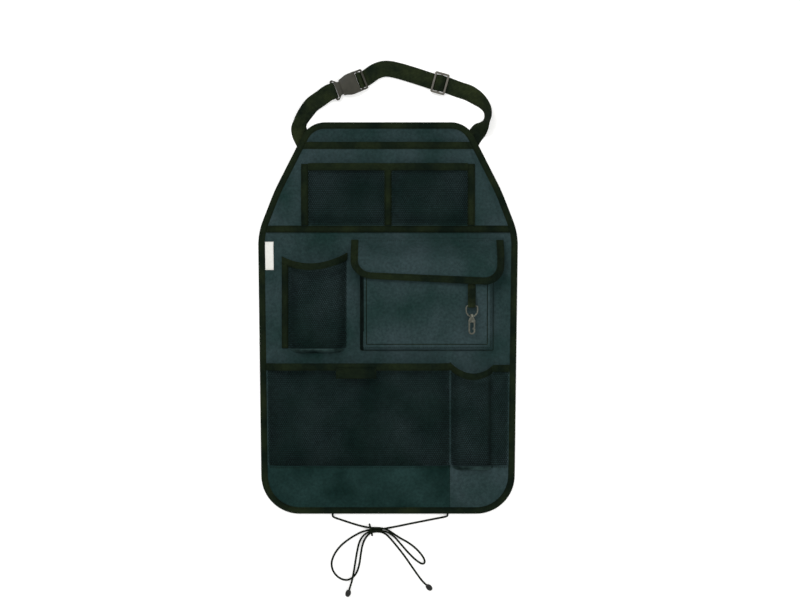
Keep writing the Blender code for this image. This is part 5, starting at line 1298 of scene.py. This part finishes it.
@dataclass
class LowerPockets:
    """The wide net pocket, its fabric foot, its closing tab and the corner bottle net."""

    panel: Panel
    top: float = -0.0715
    depth: float = 0.0120
    ramp: float = 0.024
    net_foot: float = -0.2295
    seam: float = 0.0965
    tab: Tuple[float, float, float] = (0.063, 0.0165, 0.0012)
    tab_x: float = -0.0494
    tab_drop: float = 0.0062
    corner_left: float = -0.0699
    corner_right: float = -0.0740
    corner_sag: float = 0.0150
    corner_depth: float = 0.0180
    corner_ramp: float = 0.016
    pleat: float = 0.1640
    base_share: float = 0.7
    base_rise: float = 0.030
    band_folds: Folds = (0.040, 61.0, 0.0009)
    net_folds: Folds = (0.046, 71.0, 0.0020)
    corner_folds: Folds = (0.028, 81.0, 0.0024)

    def low(self, x: np.ndarray, y: np.ndarray) -> np.ndarray:
        """Gives the height of the wide pocket's front."""
        edge = -self.panel.half_width(y)
        rise = smooth((y + self.panel.length / 2 - TAPE_WIDTH - GAP) / 0.055)
        side = smooth((x - edge) / self.ramp) * smooth((self.seam - x) / self.ramp)
        return self.panel.on(x, y) + self.depth * rise * side

    def build_band(self, needle: Needle) -> None:
        """Builds the fabric foot with its double seam and the seam beside the corner pocket."""
        inset = TAPE_WIDTH + GAP
        foot = -self.panel.length / 2 + inset
        low = foot + (self.panel.radii[0] - inset) * (1 - np.cos(np.linspace(0, math.pi / 2, 18)))
        y = np.concatenate([low, np.linspace(low[-1], self.net_foot - GAP, 6)[1:]])
        wide = self.panel.half_width(y)
        x = []
        for w in wide:
            beside = across(self.seam, w, (0.004, 0.004), 3, 16)[1:]
            x.append(np.concatenate([across(-w, self.seam, (self.ramp, self.ramp), 12, 60), beside]))
        x = np.stack(x)
        y = np.repeat(y[:, None], x.shape[1], axis=1)
        calm = smooth((self.panel.edge_distance(x, y) - 0.012) / 0.02) * (x < self.seam - 0.004)
        dents = np.minimum(drape(x, y, *self.band_folds), 0.0) * calm * smooth((self.seam - x) / 0.03)
        z = np.maximum(self.low(x, y) + dents, self.panel.on(x, y))
        sheet = Sheet(np.stack([x, y, z], -1), FABRIC)
        cloth = sheet.solid("lower_band_cloth", SHADED_BAND_CLOTH)
        # Left of the seam the band wears the copy of the cloth painted darker as shade; right of it, the plain
        # cloth
        cloth.data.materials.append(SLATE_CLOTH.material())
        for face in cloth.data.polygons:
            face.material_index = int(face.center.x > self.seam)
        settle(cloth, Rides.ORGANIZER, SHADED_BAND_CLOTH, "lower_band")
        top = sheet.raised(FABRIC + THREAD_LIFT)
        needle.sew(top[-2, 2:-2])
        needle.sew(top[-1, 2:-2] * 0.4 + top[-2, 2:-2] * 0.6)
        column = int(np.argmin(np.abs(x[-1] - self.seam)))
        needle.sew(top[:, column])

    def build_net(self, needle: Needle, tree: bpy.types.NodeTree) -> None:
        """Builds the wide net, its hem and the tab on it."""
        y = np.concatenate([np.linspace(self.net_foot, self.top - TAPE_WIDTH, 52), [self.top]])
        edge = -self.panel.half_width(y)
        x = np.stack([across(e, self.seam - GAP, (self.ramp, self.ramp), 10, 56) for e in edge])
        y = np.repeat(y[:, None], x.shape[1], axis=1)
        side = smooth((x - edge[:, None]) / self.ramp) * smooth((self.seam - x) / self.ramp)
        calm = smooth((self.top - 0.012 - y) / 0.03) * smooth((y - self.net_foot) / 0.02) * side
        waves = drape(x + y * 0.5, y * 0.6 - x * 0.2, *self.net_folds) * calm
        sheet = Sheet(np.stack([x, y, self.low(x, y) + np.minimum(waves, 0.0012)], -1), NET)
        net = sheet.netting("lower_netting", tree)
        settle(net, Rides.ORGANIZER, NET_YARN, "lower_net")
        hem("lower_hem_tape", sheet, needle, "lower_net_hem")
        lift = FABRIC + GAP + TAPE + GAP
        length, width, thick = self.tab
        high = self.top - self.tab_drop
        left = self.tab_x - length / 2
        tx, ty = np.meshgrid(np.linspace(left, left + length, 24), np.linspace(high - width, high, 8))
        tab_sheet = Sheet(np.stack([tx, ty, self.low(tx, ty) + lift], -1), thick)
        tab = tab_sheet.solid("closing_tab", BINDING, crown=0.0004)
        settle(tab, Rides.ORGANIZER, BINDING, "closure_tab")
        top = tab_sheet.raised(thick + THREAD_LIFT)
        for first, last in ((1, 5), (18, 22)):
            sides = top[1:-1, first], top[-2, first:last], top[-2:0:-1, last], top[1, last:first:-1]
            needle.sew(np.concatenate(sides), closed=True)
        seam = np.linspace(self.net_foot, self.top, 60)
        sx = np.full_like(seam, self.seam - 0.0012)
        needle.sew(np.stack([sx, seam, self.low(sx, seam) + NET + 0.0001], -1))

    def build_corner(self, needle: Needle, tree: bpy.types.NodeTree) -> None:
        """Builds the pleated corner net, its hem and its base."""
        left = self.seam + GAP
        long = self.corner_left - self.net_foot
        shares = np.concatenate([np.linspace(0, 1 - TAPE_WIDTH / long, 46), [1.0]])
        grid = []
        ramp = self.corner_ramp
        for share in shares:
            middle = mix(self.net_foot, self.corner_right, share)
            right = float(self.panel.half_width(middle))
            x = np.concatenate([
                across(left, self.pleat, (ramp, ramp * 0.7), 9, 14), np.linspace(self.pleat, right, 12)[1:]
            ])
            u = np.clip((x - left) / (self.pleat - left), 0, 1)
            top = mix(self.corner_left, self.corner_right, u) - self.corner_sag * 4 * u * (1 - u)
            y = mix(self.net_foot, top, share)
            opened = mix(self.base_share, 1.0, smooth((y - self.net_foot) / self.base_rise))
            main = hump(x, left, self.pleat, ramp, ramp * 0.7)
            side = hump(x, self.pleat - ramp * 0.7, right, ramp * 0.7, right - self.pleat)
            bulge = np.maximum(main, side * 0.30)
            crush = np.minimum(drape(x, y, *self.corner_folds), 0.0006) * main
            z = self.panel.on(x, y) + self.corner_depth * opened * bulge + crush
            grid.append(np.stack([x, y, z], -1))
        sheet = Sheet(np.array(grid), NET)
        net = sheet.netting("corner_netting", tree)
        settle(net, Rides.ORGANIZER, NET_YARN, "corner_net")
        hem("corner_hem_tape", sheet, needle, "corner_net_hem")
        base_strip("corner_base_cloth", sheet, self.panel, slice(3, 32), FABRIC + GAP, "corner_net_base")


@dataclass
class SideLabel:
    """The plain white label sewn in beside the binding."""

    panel: Panel
    width: float = 0.0130
    length: float = 0.0440
    y: float = 0.0969
    thickness: float = 0.0005

    def build(self) -> None:
        """Builds the label."""
        rows = np.linspace(self.y - self.length / 2, self.y + self.length / 2, 14)
        left = -self.panel.half_width(rows) + GAP
        x = left[:, None] + np.linspace(0, self.width, 8)[None]
        y = np.repeat(rows[:, None], x.shape[1], axis=1)
        curl = 0.0004 * smooth((x - left[:, None]) / self.width) * (0.5 + 0.5 * np.sin((y - self.y) * 90))
        sheet = Sheet(np.stack([x, y, self.panel.on(x, y) + curl], -1), self.thickness)
        settle(sheet.solid("white_label", LABEL_SATIN), Rides.ORGANIZER, LABEL_SATIN, "side_label")


# Straps


def smooth_course(points: Sequence[Sequence[float]], samples: int) -> np.ndarray:
    """Gives points of a smooth curve through a route.

    Args:
        points: The route.
        samples: Points in each stretch.

    Returns:
        One row for each point.
    """
    route = np.array(points, float)
    ends = np.concatenate([[route[0] * 2 - route[1]], route, [route[-1] * 2 - route[-2]]])
    curve = []
    for i in range(1, len(ends) - 2):
        a, b, c, d = ends[i - 1:i + 3]
        bend, twist = a * 2 - b * 5 + c * 4 - d, b * 3 - a - c * 3 + d
        for t in np.arange(samples) / samples:
            curve.append((b * 2 + (c - a) * t + bend * t * t + twist * t ** 3) / 2)
    curve.append(route[-1])
    return np.array(curve)


@dataclass
class Course:
    """A strap's way in plan, with its heading and its tilt in degrees."""

    route: Sequence[Sequence[float]]
    points: np.ndarray = field(init=False)
    run: np.ndarray = field(init=False)

    def __post_init__(self) -> None:
        """Samples the route."""
        self.points = smooth_course(self.route, 8)
        self.run = run_of(self.points[:, :2], 0)

    def run_at(self, spot: Tuple[float, float]) -> float:
        """Gives the length run at the point nearest to a spot."""
        return float(self.run[np.argmin(np.linalg.norm(self.points[:, :2] - spot, axis=1))])

    def at(self, length: float) -> Tuple[np.ndarray, np.ndarray, float]:
        """Gives the place, heading and tilt at a length run, which may lie before the start."""
        i = int(np.clip(np.searchsorted(self.run, length, side="right") - 1, 0, len(self.run) - 2))
        start, end = self.points[i], self.points[i + 1]
        share = (length - self.run[i]) / (self.run[i + 1] - self.run[i])
        before, after = self.points[max(i - 1, 0)], self.points[min(i + 2, len(self.points) - 1)]
        heading = (end - start if length < 0 else after - before)[:2]
        tilt = max(mix(start[2], end[2], np.clip(share, 0, 1)), 0.0)
        return start[:2] + (end - start)[:2] * share, unit(heading), math.radians(tilt)


def refine(stations: Sequence[Tuple[float, float]], times: int) -> np.ndarray:
    """Puts smooth extra stations between a strap's stations."""
    return smooth_course([(a, b, 0.0) for a, b in stations], times)[:, :2]


def web(
    name: str, course: Course, stations: Sequence[Tuple[float, float]], side: float, *nodes: str
) -> bpy.types.Object:
    """Weaves a strap along a course.

    Args:
        name: The strap's name.
        course: Its way in plan.
        stations: Length run and height of its middle at each station.
        side: 1 where its left edge stands up when it tilts, or -1.
        nodes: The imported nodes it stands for.

    Returns:
        The strap.
    """
    spots, wides = [], []
    for length, height in refine(stations, 3):
        place, heading, tilt = course.at(length)
        stand = WEBBING_WIDTH / 2 * math.sin(tilt)
        spots.append((*place, height + stand))
        wides.append((-heading[1] * math.cos(tilt), heading[0] * math.cos(tilt), side * math.sin(tilt)))
    return ribbon(name, np.array(spots), np.array(wides), WEBBING_WIDTH, *nodes)


def ribbon(name: str, spots: np.ndarray, wides: np.ndarray, width: float, *nodes: str) -> bpy.types.Object:
    """Builds webbing with rounded selvedges through places and across-vectors."""
    along = unit(np.gradient(spots, axis=0))
    ups = unit(np.cross(along, wides))
    half, thick = width / 2, WEBBING / 2
    turn = 0.0005
    below = [
        (-half, -0.4), (-half + turn, -1), (-half * 0.5, -1), (0.0, -1), (half * 0.5, -1), (half - turn, -1),
        (half, -0.4),
    ]
    places = below + [(-a, -b) for a, b in below]
    rings = np.stack([spots + wides * a + ups * (b * thick) for a, b in places], axis=1)
    made = sweep(name, rings, STRAP_WEB, sharp=60.0)
    return settle(made, Rides.ORGANIZER, STRAP_WEB, *nodes)


def wrap(start: float, end: float, radius: float, steps: int) -> List[Tuple[float, float]]:
    """Gives stations round a bar between two angles in degrees, as length and height."""
    angles = np.radians(np.linspace(start, end, steps + 1))
    return [(radius * math.cos(a), HARDWARE_Z + radius * math.sin(a)) for a in angles]


@dataclass
class HeadrestStrap:
    """The webbing on both sides, woven through the buckle and the adjuster as in the part's source."""

    bar: float = 0.0030
    buckle: Tuple[float, float, float] = (-0.0612, 0.3632, math.radians(21.8))
    adjuster: Tuple[float, float, float] = (0.0809, 0.3657, math.radians(-15.6))
    plug_bar: float = -0.0264 + 0.0015
    socket_bar: float = 0.0272 - 0.0030 - 0.0040 - 0.0015
    adjuster_length: float = 0.0230
    sewn_reach: float = 0.035
    left_route: Tuple[Tuple[float, float, float], ...] = (
        (-0.1045, 0.3425, 4), (-0.1182, 0.3325, 10), (-0.1256, 0.3232, 18), (-0.1333, 0.3113, 32),
        (-0.1374, 0.3020, 34), (-0.1386, 0.2935, 8), (-0.1368, 0.2850, 0), (-0.1325, 0.2760, 0),
        (-0.1258, 0.2650, 0),
    )
    middle_route: Tuple[Tuple[float, float, float], ...] = (
        (-0.0280, 0.3785, 0), (-0.0187, 0.3846, 0), (-0.0078, 0.3882, 0), (0.0031, 0.3882, 0),
        (0.0166, 0.3853, 0), (0.0299, 0.3815, 0), (0.0475, 0.3760, 0),
    )
    right_route: Tuple[Tuple[float, float, float], ...] = (
        (0.1120, 0.3556, 0), (0.1250, 0.3511, 8), (0.1370, 0.3436, 26), (0.1474, 0.3346, 46),
        (0.1540, 0.3250, 60), (0.1556, 0.3150, 66), (0.1530, 0.3060, 66), (0.1484, 0.2988, 44),
        (0.1426, 0.2926, 10), (0.1392, 0.2884, 0), (0.1360, 0.2844, 0), (0.1308, 0.2762, 0),
        (0.1260, 0.2645, 0),
    )

    def spot(self, fitting: Tuple[float, float, float], reach: float) -> Tuple[float, float, float]:
        """Gives a point on the long axis of a fitting that lies turned in plan."""
        return fitting[0] + reach * math.cos(fitting[2]), fitting[1] + reach * math.sin(fitting[2]), 0

    def resting(self, course: Course, lengths: np.ndarray) -> List[Tuple[float, float]]:
        """Gives stations of a strap that lies on the floor, its sewn end lowest."""
        sewn = float(course.run[-1]) - self.sewn_reach
        return [(float(a), WEBBING / 2 + (GAP if a < sewn else 0.0)) for a in lengths]

    def build(self) -> None:
        """Builds the left strap and the long strap."""
        radius = math.hypot(self.bar, self.bar) / 2 + GAP + WEBBING / 2 + 0.0001
        layer = WEBBING + GAP
        under = HARDWARE_Z - self.bar / 2 - GAP - WEBBING / 2 - 0.0001
        under_layer, free = under - layer, WEBBING / 2 + GAP
        route = [self.spot(self.buckle, self.plug_bar - reach) for reach in (0.0, 0.010)]
        course = Course(route + list(self.left_route))
        lower = [(0.034, free), (0.022, free + 0.0004), (0.010, free + 0.0012)]
        upper = [(0.009, HARDWARE_Z + 0.0012), (0.014, HARDWARE_Z - 0.0008), (0.022, free + layer + 0.0012)]
        upper += [(0.034, free + layer + 0.0004), (0.040, free + 0.0008)]
        lying = self.resting(course, np.linspace(0.048, course.run[-1], 13))
        turn = [(-length, height) for length, height in wrap(-110, 110, radius, 8)]
        web("left_strap_web", course, lower + turn + upper + lying, -1.0, "strap_left")

        route = [self.spot(self.buckle, self.socket_bar + reach) for reach in (0.0, 0.010)]
        route += [*self.middle_route, *(self.spot(self.adjuster, reach) for reach in (-0.014, 0.0, 0.014))]
        course = Course(route + list(self.right_route))
        middle = course.run_at(self.adjuster[:2])
        bar = self.adjuster_length / 2 - self.bar / 2
        slot = bar - self.bar / 2 - GAP - WEBBING / 2
        stations = [(middle + length, height) for length, height in wrap(190, -90, radius, 9)]
        stations += [(middle - 0.004, under_layer + 0.0002)]
        stations += [(float(a), under_layer) for a in np.linspace(middle - bar + 0.003, 0.0060, 10)]
        stations += [(0.0032, under_layer + 0.0003)] + wrap(-90, -360, radius, 9)
        stations += [(0.0035, HARDWARE_Z - 0.0010), (0.0042, under + 0.0003)]
        stations += [(float(a), under) for a in np.linspace(0.0062, middle - bar + 0.0006, 10)]
        stations += [(middle - slot + 0.0002, under + 0.0008), (middle - slot + 0.0011, HARDWARE_Z + 0.0006)]
        stations += [(middle + length, height) for length, height in wrap(150, 30, radius + layer, 5)]
        stations += [(middle + slot - 0.0011, HARDWARE_Z + 0.0006), (middle + slot - 0.0002, under + 0.0008)]
        stations += [(middle + bar - 0.0006, under), (middle + bar + 0.004, under)]
        stations += self.resting(course, np.linspace(middle + bar + 0.014, course.run[-1], 19))
        web("long_strap_web", course, stations, 1.0, "strap_long")


@dataclass
class KeyHolder:
    """The key strap that hangs from under the flap, and the hook's metal pieces."""

    pocket: FlapPocket
    x: float = 0.1300
    width: float = 0.012
    top: float = 0.0700
    end: float = 0.0340
    eye_y: float = 0.0190
    wire: float = 0.0024

    def build(self, needle: Needle) -> None:
        """Builds the folded strap and rounds the metal pieces."""
        layer_z = float(self.pocket.on_pocket(np.array(self.pocket.flap_bottom))) + WEBBING / 2
        radius = self.wire / 2 + GAP + WEBBING / 2
        hook_z, layer = layer_z + radius, WEBBING + GAP
        path = [
            (y, float(self.pocket.on_pocket(np.array(y))) + WEBBING / 2)
            for y in np.linspace(self.top, self.pocket.flap_bottom, 3)
        ]
        path += [(self.end, layer_z), (self.eye_y + 0.0030, layer_z)]
        for angle in np.radians(np.linspace(-90, -270, 9)):
            path.append((self.eye_y + radius * math.cos(angle), hook_z + radius * math.sin(angle)))
        path += [(self.eye_y + 0.0030, hook_z + radius * 0.9)]
        path += [(self.eye_y + 0.0075, layer_z + layer + 0.0004), (self.end, layer_z + layer)]
        line = refine(path, 3)
        spots = np.column_stack([np.full(len(line), self.x), line])
        wides = np.tile((1.0, 0.0, 0.0), (len(line), 1))
        ribbon("key_strap_web", spots, wides, self.width, "key_strap")
        high = layer_z + layer + WEBBING / 2 + 0.00003
        for y in (self.end - 0.0012, self.end - 0.0034):
            needle.sew(np.array([(self.x - 0.0048 + 0.0016 * k, y, high) for k in range(7)]))
        rounded("hook_eye", Rides.EYE, GUNMETAL, 0.00025)
        rounded("hook_body", Rides.HOOK, GUNMETAL, 0.00045)
        rounded("hook_gate_pin", Rides.HOOK, GUNMETAL, 0.00012)
        rounded("hook_gate", Rides.GATE, GUNMETAL, 0.00025)


def rounded(node: str, body: Rides, finish: Finish, width: float) -> bpy.types.Object:
    """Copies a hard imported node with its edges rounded.

    Args:
        node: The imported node.
        body: The body it moves with.
        finish: The finish it wears.
        width: Width of the rounding.

    Returns:
        The rounded copy.
    """
    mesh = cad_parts[node].data.copy()
    mesh.materials.clear()
    mesh.materials.append(finish.material())
    bm = bmesh.new()
    bm.from_mesh(mesh)
    bmesh.ops.remove_doubles(bm, verts=bm.verts, dist=0.00001)
    bmesh.ops.dissolve_limit(bm, angle_limit=math.radians(1.5), verts=bm.verts, edges=bm.edges)
    bm.to_mesh(mesh)
    bm.free()
    source = bpy.data.objects.new(node + "_source", mesh)
    bpy.context.scene.collection.objects.link(source)
    bevel = source.modifiers.new("Rounding", "BEVEL")
    bevel.width = width
    bevel.segments = 3
    bevel.limit_method = "ANGLE"
    bevel.angle_limit = math.radians(28)
    bevel.use_clamp_overlap = True
    bpy.context.view_layer.update()
    shown = source.evaluated_get(bpy.context.evaluated_depsgraph_get())
    made = bpy.data.objects.new(node + "_rounded", bpy.data.meshes.new_from_object(shown))
    bpy.data.objects.remove(source)
    bpy.context.scene.collection.objects.link(made)
    made.data.shade_smooth()
    made.data.set_sharp_from_angle(angle=math.radians(35))
    return settle(made, body, finish, node)


# Tie cords


def braid(name: str, route: Sequence[Sequence[float]], *nodes: str) -> Tuple[bpy.types.Object, np.ndarray]:
    """Braids a round cord along the same smooth curve as the part's cord.

    Args:
        name: The cord's name.
        route: The points that the curve goes through.
        nodes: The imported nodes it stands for.

    Returns:
        The cord and the points along its middle.
    """
    line = smooth_course(route, 12)
    line[:, 2] = np.maximum(line[:, 2], CORD_Z)
    kept = [line[0]]
    for point in line[1:-1]:
        before, after = np.linalg.norm(point - kept[-1]), np.linalg.norm(point - line[-1])
        if before >= BRAID_STEP and after > BRAID_STEP / 2:
            kept.append(point)
    kept.append(line[-1])
    spots = np.array(kept)
    cord = sweep(name, tube(spots, CORD_DIAMETER / 2, 12), CORD_BRAID)
    return settle(cord, Rides.ORGANIZER, CORD_BRAID, *nodes), spots


@dataclass
class TieCord:
    """One tie cord in the bow, with its moulded tip."""

    side: str
    route: Tuple[Tuple[float, float, float], ...]
    sewn_y: float = -0.3046
    tip_length: float = 0.0115

    def build(self, *pieces: bpy.types.Object) -> None:
        """Builds the cord from inside the binding's fold to its tip, and the tip."""
        start = (self.route[0][0], self.sewn_y, EXIT_Z)
        cord, spots = braid(f"{self.side}_cord_braid", [start, *self.route], f"tie_cord_{self.side}")
        self.build_tip()

    def build_tip(self) -> bpy.types.Object:
        """Builds the oval bead past the cord's end."""
        end, before = np.array(self.route[-1]), np.array(self.route[-2])
        along = unit(np.array([*(end - before)[:2], 0.0]))
        side = np.array([along[1], -along[0], 0.0])
        radius, long = TIP_DIAMETER / 2, self.tip_length
        profile = smooth_course(
            [(radius * 0.46, GAP), (radius * 0.74, long * 0.14), (radius * 0.94, long * 0.32),
             (radius, long * 0.52), (radius * 0.90, long * 0.74), (radius * 0.66, long * 0.91),
             (radius * 0.28, long)], 4,
        )
        turns = np.linspace(0, 2 * math.pi, 25)[:-1]
        rings = np.stack(
            [end + along * reach + np.outer(np.cos(turns), side) * r + np.outer(np.sin(turns), (0, 0, 1)) * r
             for r, reach in profile]
        )
        tip = sweep(f"{self.side}_cord_tip", rings, TIP_VINYL)
        return settle(tip, Rides.ORGANIZER, TIP_VINYL, f"cord_tip_{self.side}")


EXIT_Z = 0.00185
CORD_DIAMETER = 0.0030
CORD_Z = CORD_DIAMETER / 2 + 0.00005
OVER_Z = CORD_Z + CORD_DIAMETER + GAP
KNOT_Z = OVER_Z + CORD_DIAMETER + GAP
TIP_DIAMETER = 0.0086
TIP_Z = TIP_DIAMETER / 2 + 0.00005
BRAID_STEP = 0.0020

LEFT_CORD = (
    (-0.0862, -0.3066, EXIT_Z), (-0.0860, -0.3092, CORD_Z), (-0.0826, -0.3112, CORD_Z),
    (-0.0735, -0.3143, CORD_Z), (-0.0606, -0.3186, CORD_Z), (-0.0477, -0.3226, CORD_Z),
    (-0.0375, -0.3251, 0.0020), (-0.0300, -0.3263, 0.0036), (-0.0225, -0.3268, OVER_Z),
    (-0.0140, -0.3270, OVER_Z), (-0.0060, -0.3282, OVER_Z), (0.0010, -0.3312, 0.0036),
    (0.0080, -0.3358, 0.0018), (0.0180, -0.3424, CORD_Z), (0.0310, -0.3498, CORD_Z),
    (0.0426, -0.3585, CORD_Z), (0.0516, -0.3682, CORD_Z), (0.0566, -0.3765, CORD_Z),
    (0.0568, -0.3818, CORD_Z), (0.0522, -0.3828, CORD_Z), (0.0426, -0.3764, CORD_Z),
    (0.0310, -0.3650, CORD_Z), (0.0205, -0.3530, CORD_Z), (0.0112, -0.3425, CORD_Z),
    (0.0035, -0.3362, 0.0030), (-0.0045, -0.3323, OVER_Z), (-0.0140, -0.3311, OVER_Z),
    (-0.0225, -0.3314, OVER_Z), (-0.0300, -0.3334, OVER_Z), (-0.0382, -0.3388, 0.0046),
    (-0.0444, -0.3490, 0.0030), (-0.0478, -0.3620, CORD_Z), (-0.0500, -0.3745, CORD_Z),
    (-0.0519, -0.3865, 0.0026), (-0.0538, -0.3975, OVER_Z), (-0.0560, -0.4085, OVER_Z),
    (-0.0585, -0.4170, 0.0045), (-0.0604, -0.4232, TIP_Z),
)
RIGHT_CORD = (
    (0.0929, -0.3066, EXIT_Z), (0.0922, -0.3086, CORD_Z), (0.0876, -0.3101, CORD_Z),
    (0.0748, -0.3126, CORD_Z), (0.0555, -0.3164, CORD_Z), (0.0361, -0.3202, CORD_Z),
    (0.0168, -0.3242, CORD_Z), (0.0050, -0.3264, CORD_Z), (-0.0060, -0.3283, CORD_Z),
    (-0.0150, -0.3292, CORD_Z), (-0.0240, -0.3297, CORD_Z), (-0.0330, -0.3312, CORD_Z),
    (-0.0440, -0.3348, CORD_Z), (-0.0606, -0.3445, CORD_Z), (-0.0735, -0.3550, CORD_Z),
    (-0.0826, -0.3668, CORD_Z), (-0.0877, -0.3798, CORD_Z), (-0.0866, -0.3916, CORD_Z),
    (-0.0800, -0.4017, CORD_Z), (-0.0710, -0.4073, CORD_Z), (-0.0625, -0.4080, CORD_Z),
    (-0.0548, -0.4040, CORD_Z), (-0.0485, -0.3960, CORD_Z), (-0.0448, -0.3840, CORD_Z),
    (-0.0425, -0.3690, CORD_Z), (-0.0400, -0.3550, CORD_Z), (-0.0356, -0.3440, CORD_Z),
    (-0.0290, -0.3362, CORD_Z), (-0.0210, -0.3333, CORD_Z), (-0.0120, -0.3334, CORD_Z),
    (-0.0045, -0.3362, CORD_Z), (0.0025, -0.3425, CORD_Z), (0.0140, -0.3560, CORD_Z),
    (0.0258, -0.3712, CORD_Z), (0.0374, -0.3878, CORD_Z), (0.0470, -0.4015, CORD_Z),
    (0.0535, -0.4098, 0.0030), (0.0598, -0.4157, TIP_Z),
)
KNOT_TURN = (
    (-0.0288, -0.3212, 0.0034), (-0.0284, -0.3228, 0.0064), (-0.0276, -0.3252, KNOT_Z),
    (-0.0265, -0.3297, KNOT_Z), (-0.0256, -0.3340, KNOT_Z), (-0.0250, -0.3366, 0.0072),
    (-0.0247, -0.3386, 0.0050),
)


# Studio


@dataclass
class Studio:
    """White paper, three soft lamps and a camera that looks straight down."""

    centre: Tuple[float, float] = (0.0187, 0.0281)
    height: float = 3.466
    lens: float = 100.0
    sky: float = 0.55

    def lamp(self, name: str, place: Tuple[float, float, float], size: float, power: float) -> None:
        """Hangs a square soft lamp that faces the object."""
        data = bpy.data.lights.new(name, "AREA")
        data.size = size
        data.energy = power
        lamp = bpy.data.objects.new(name, data)
        lamp.location = place
        lamp.rotation_euler = (Vector((0, 0, 0)) - Vector(place)).to_track_quat("-Z", "Y").to_euler()
        bpy.context.scene.collection.objects.link(lamp)

    def build(self) -> None:
        """Builds the floor, the lamps, the world and the camera."""
        points = np.array([(-4, -4, -0.0002), (4, -4, -0.0002), (4, 4, -0.0002), (-4, 4, -0.0002)], float)
        floor = make_object("floor_paper", points, [(0, 1, 2, 3)], finish=WHITE_PAPER)
        self.lamp("key_lamp", (-1.1, 1.7, 2.4), 1.4, 42.0)
        self.lamp("fill_lamp", (1.9, 0.4, 2.2), 1.8, 18.0)
        self.lamp("low_lamp", (0.1, -2.3, 1.3), 1.6, 20.0)
        scene = bpy.context.scene
        world = bpy.data.worlds.new("studio_air")
        world.use_nodes = True
        world.node_tree.nodes["Background"].inputs["Color"].default_value = (1.0, 1.0, 1.0, 1.0)
        world.node_tree.nodes["Background"].inputs["Strength"].default_value = self.sky
        scene.world = world
        scene.view_settings.view_transform = "Standard"
        data = bpy.data.cameras.new("overhead")
        data.lens = self.lens
        data.sensor_width = 36.0
        camera = bpy.data.objects.new("overhead", data)
        camera.location = (*self.centre, self.height)
        scene.collection.objects.link(camera)
        scene.camera = camera


def main() -> None:
    """Builds and dresses every sub-assembly in order."""
    logging.basicConfig(level=logging.INFO, format="%(name)s: %(message)s")
    Studio().build()
    needle = Needle()
    knot, _ = braid("bow_knot_braid", KNOT_TURN, "bow_knot")
    TieCord("left", LEFT_CORD).build(knot)
    TieCord("right", RIGHT_CORD).build()
    panel = Panel()
    panel.build(needle)
    net = netting_tree()
    upper = UpperPockets(panel)
    upper.build_map(needle)
    upper.build_cards(needle, net)
    BottlePocket(panel).build(needle, net)
    pocket = FlapPocket(panel)
    pocket.build_pocket(needle)
    pocket.build_flap(needle)
    pocket.build_fasteners()
    lower = LowerPockets(panel)
    lower.build_band(needle)
    lower.build_net(needle, net)
    lower.build_corner(needle, net)
    SideLabel(panel).build()
    HeadrestStrap().build()
    rounded("buckle_socket", Rides.ORGANIZER, ACETAL, 0.0007)
    rounded("buckle_plug", Rides.ORGANIZER, ACETAL, 0.0005)
    rounded("slide_adjuster", Rides.ORGANIZER, NYLON, 0.0006)
    KeyHolder(pocket).build(needle)
    needle.finish()


if __name__ == "__main__":
    main()
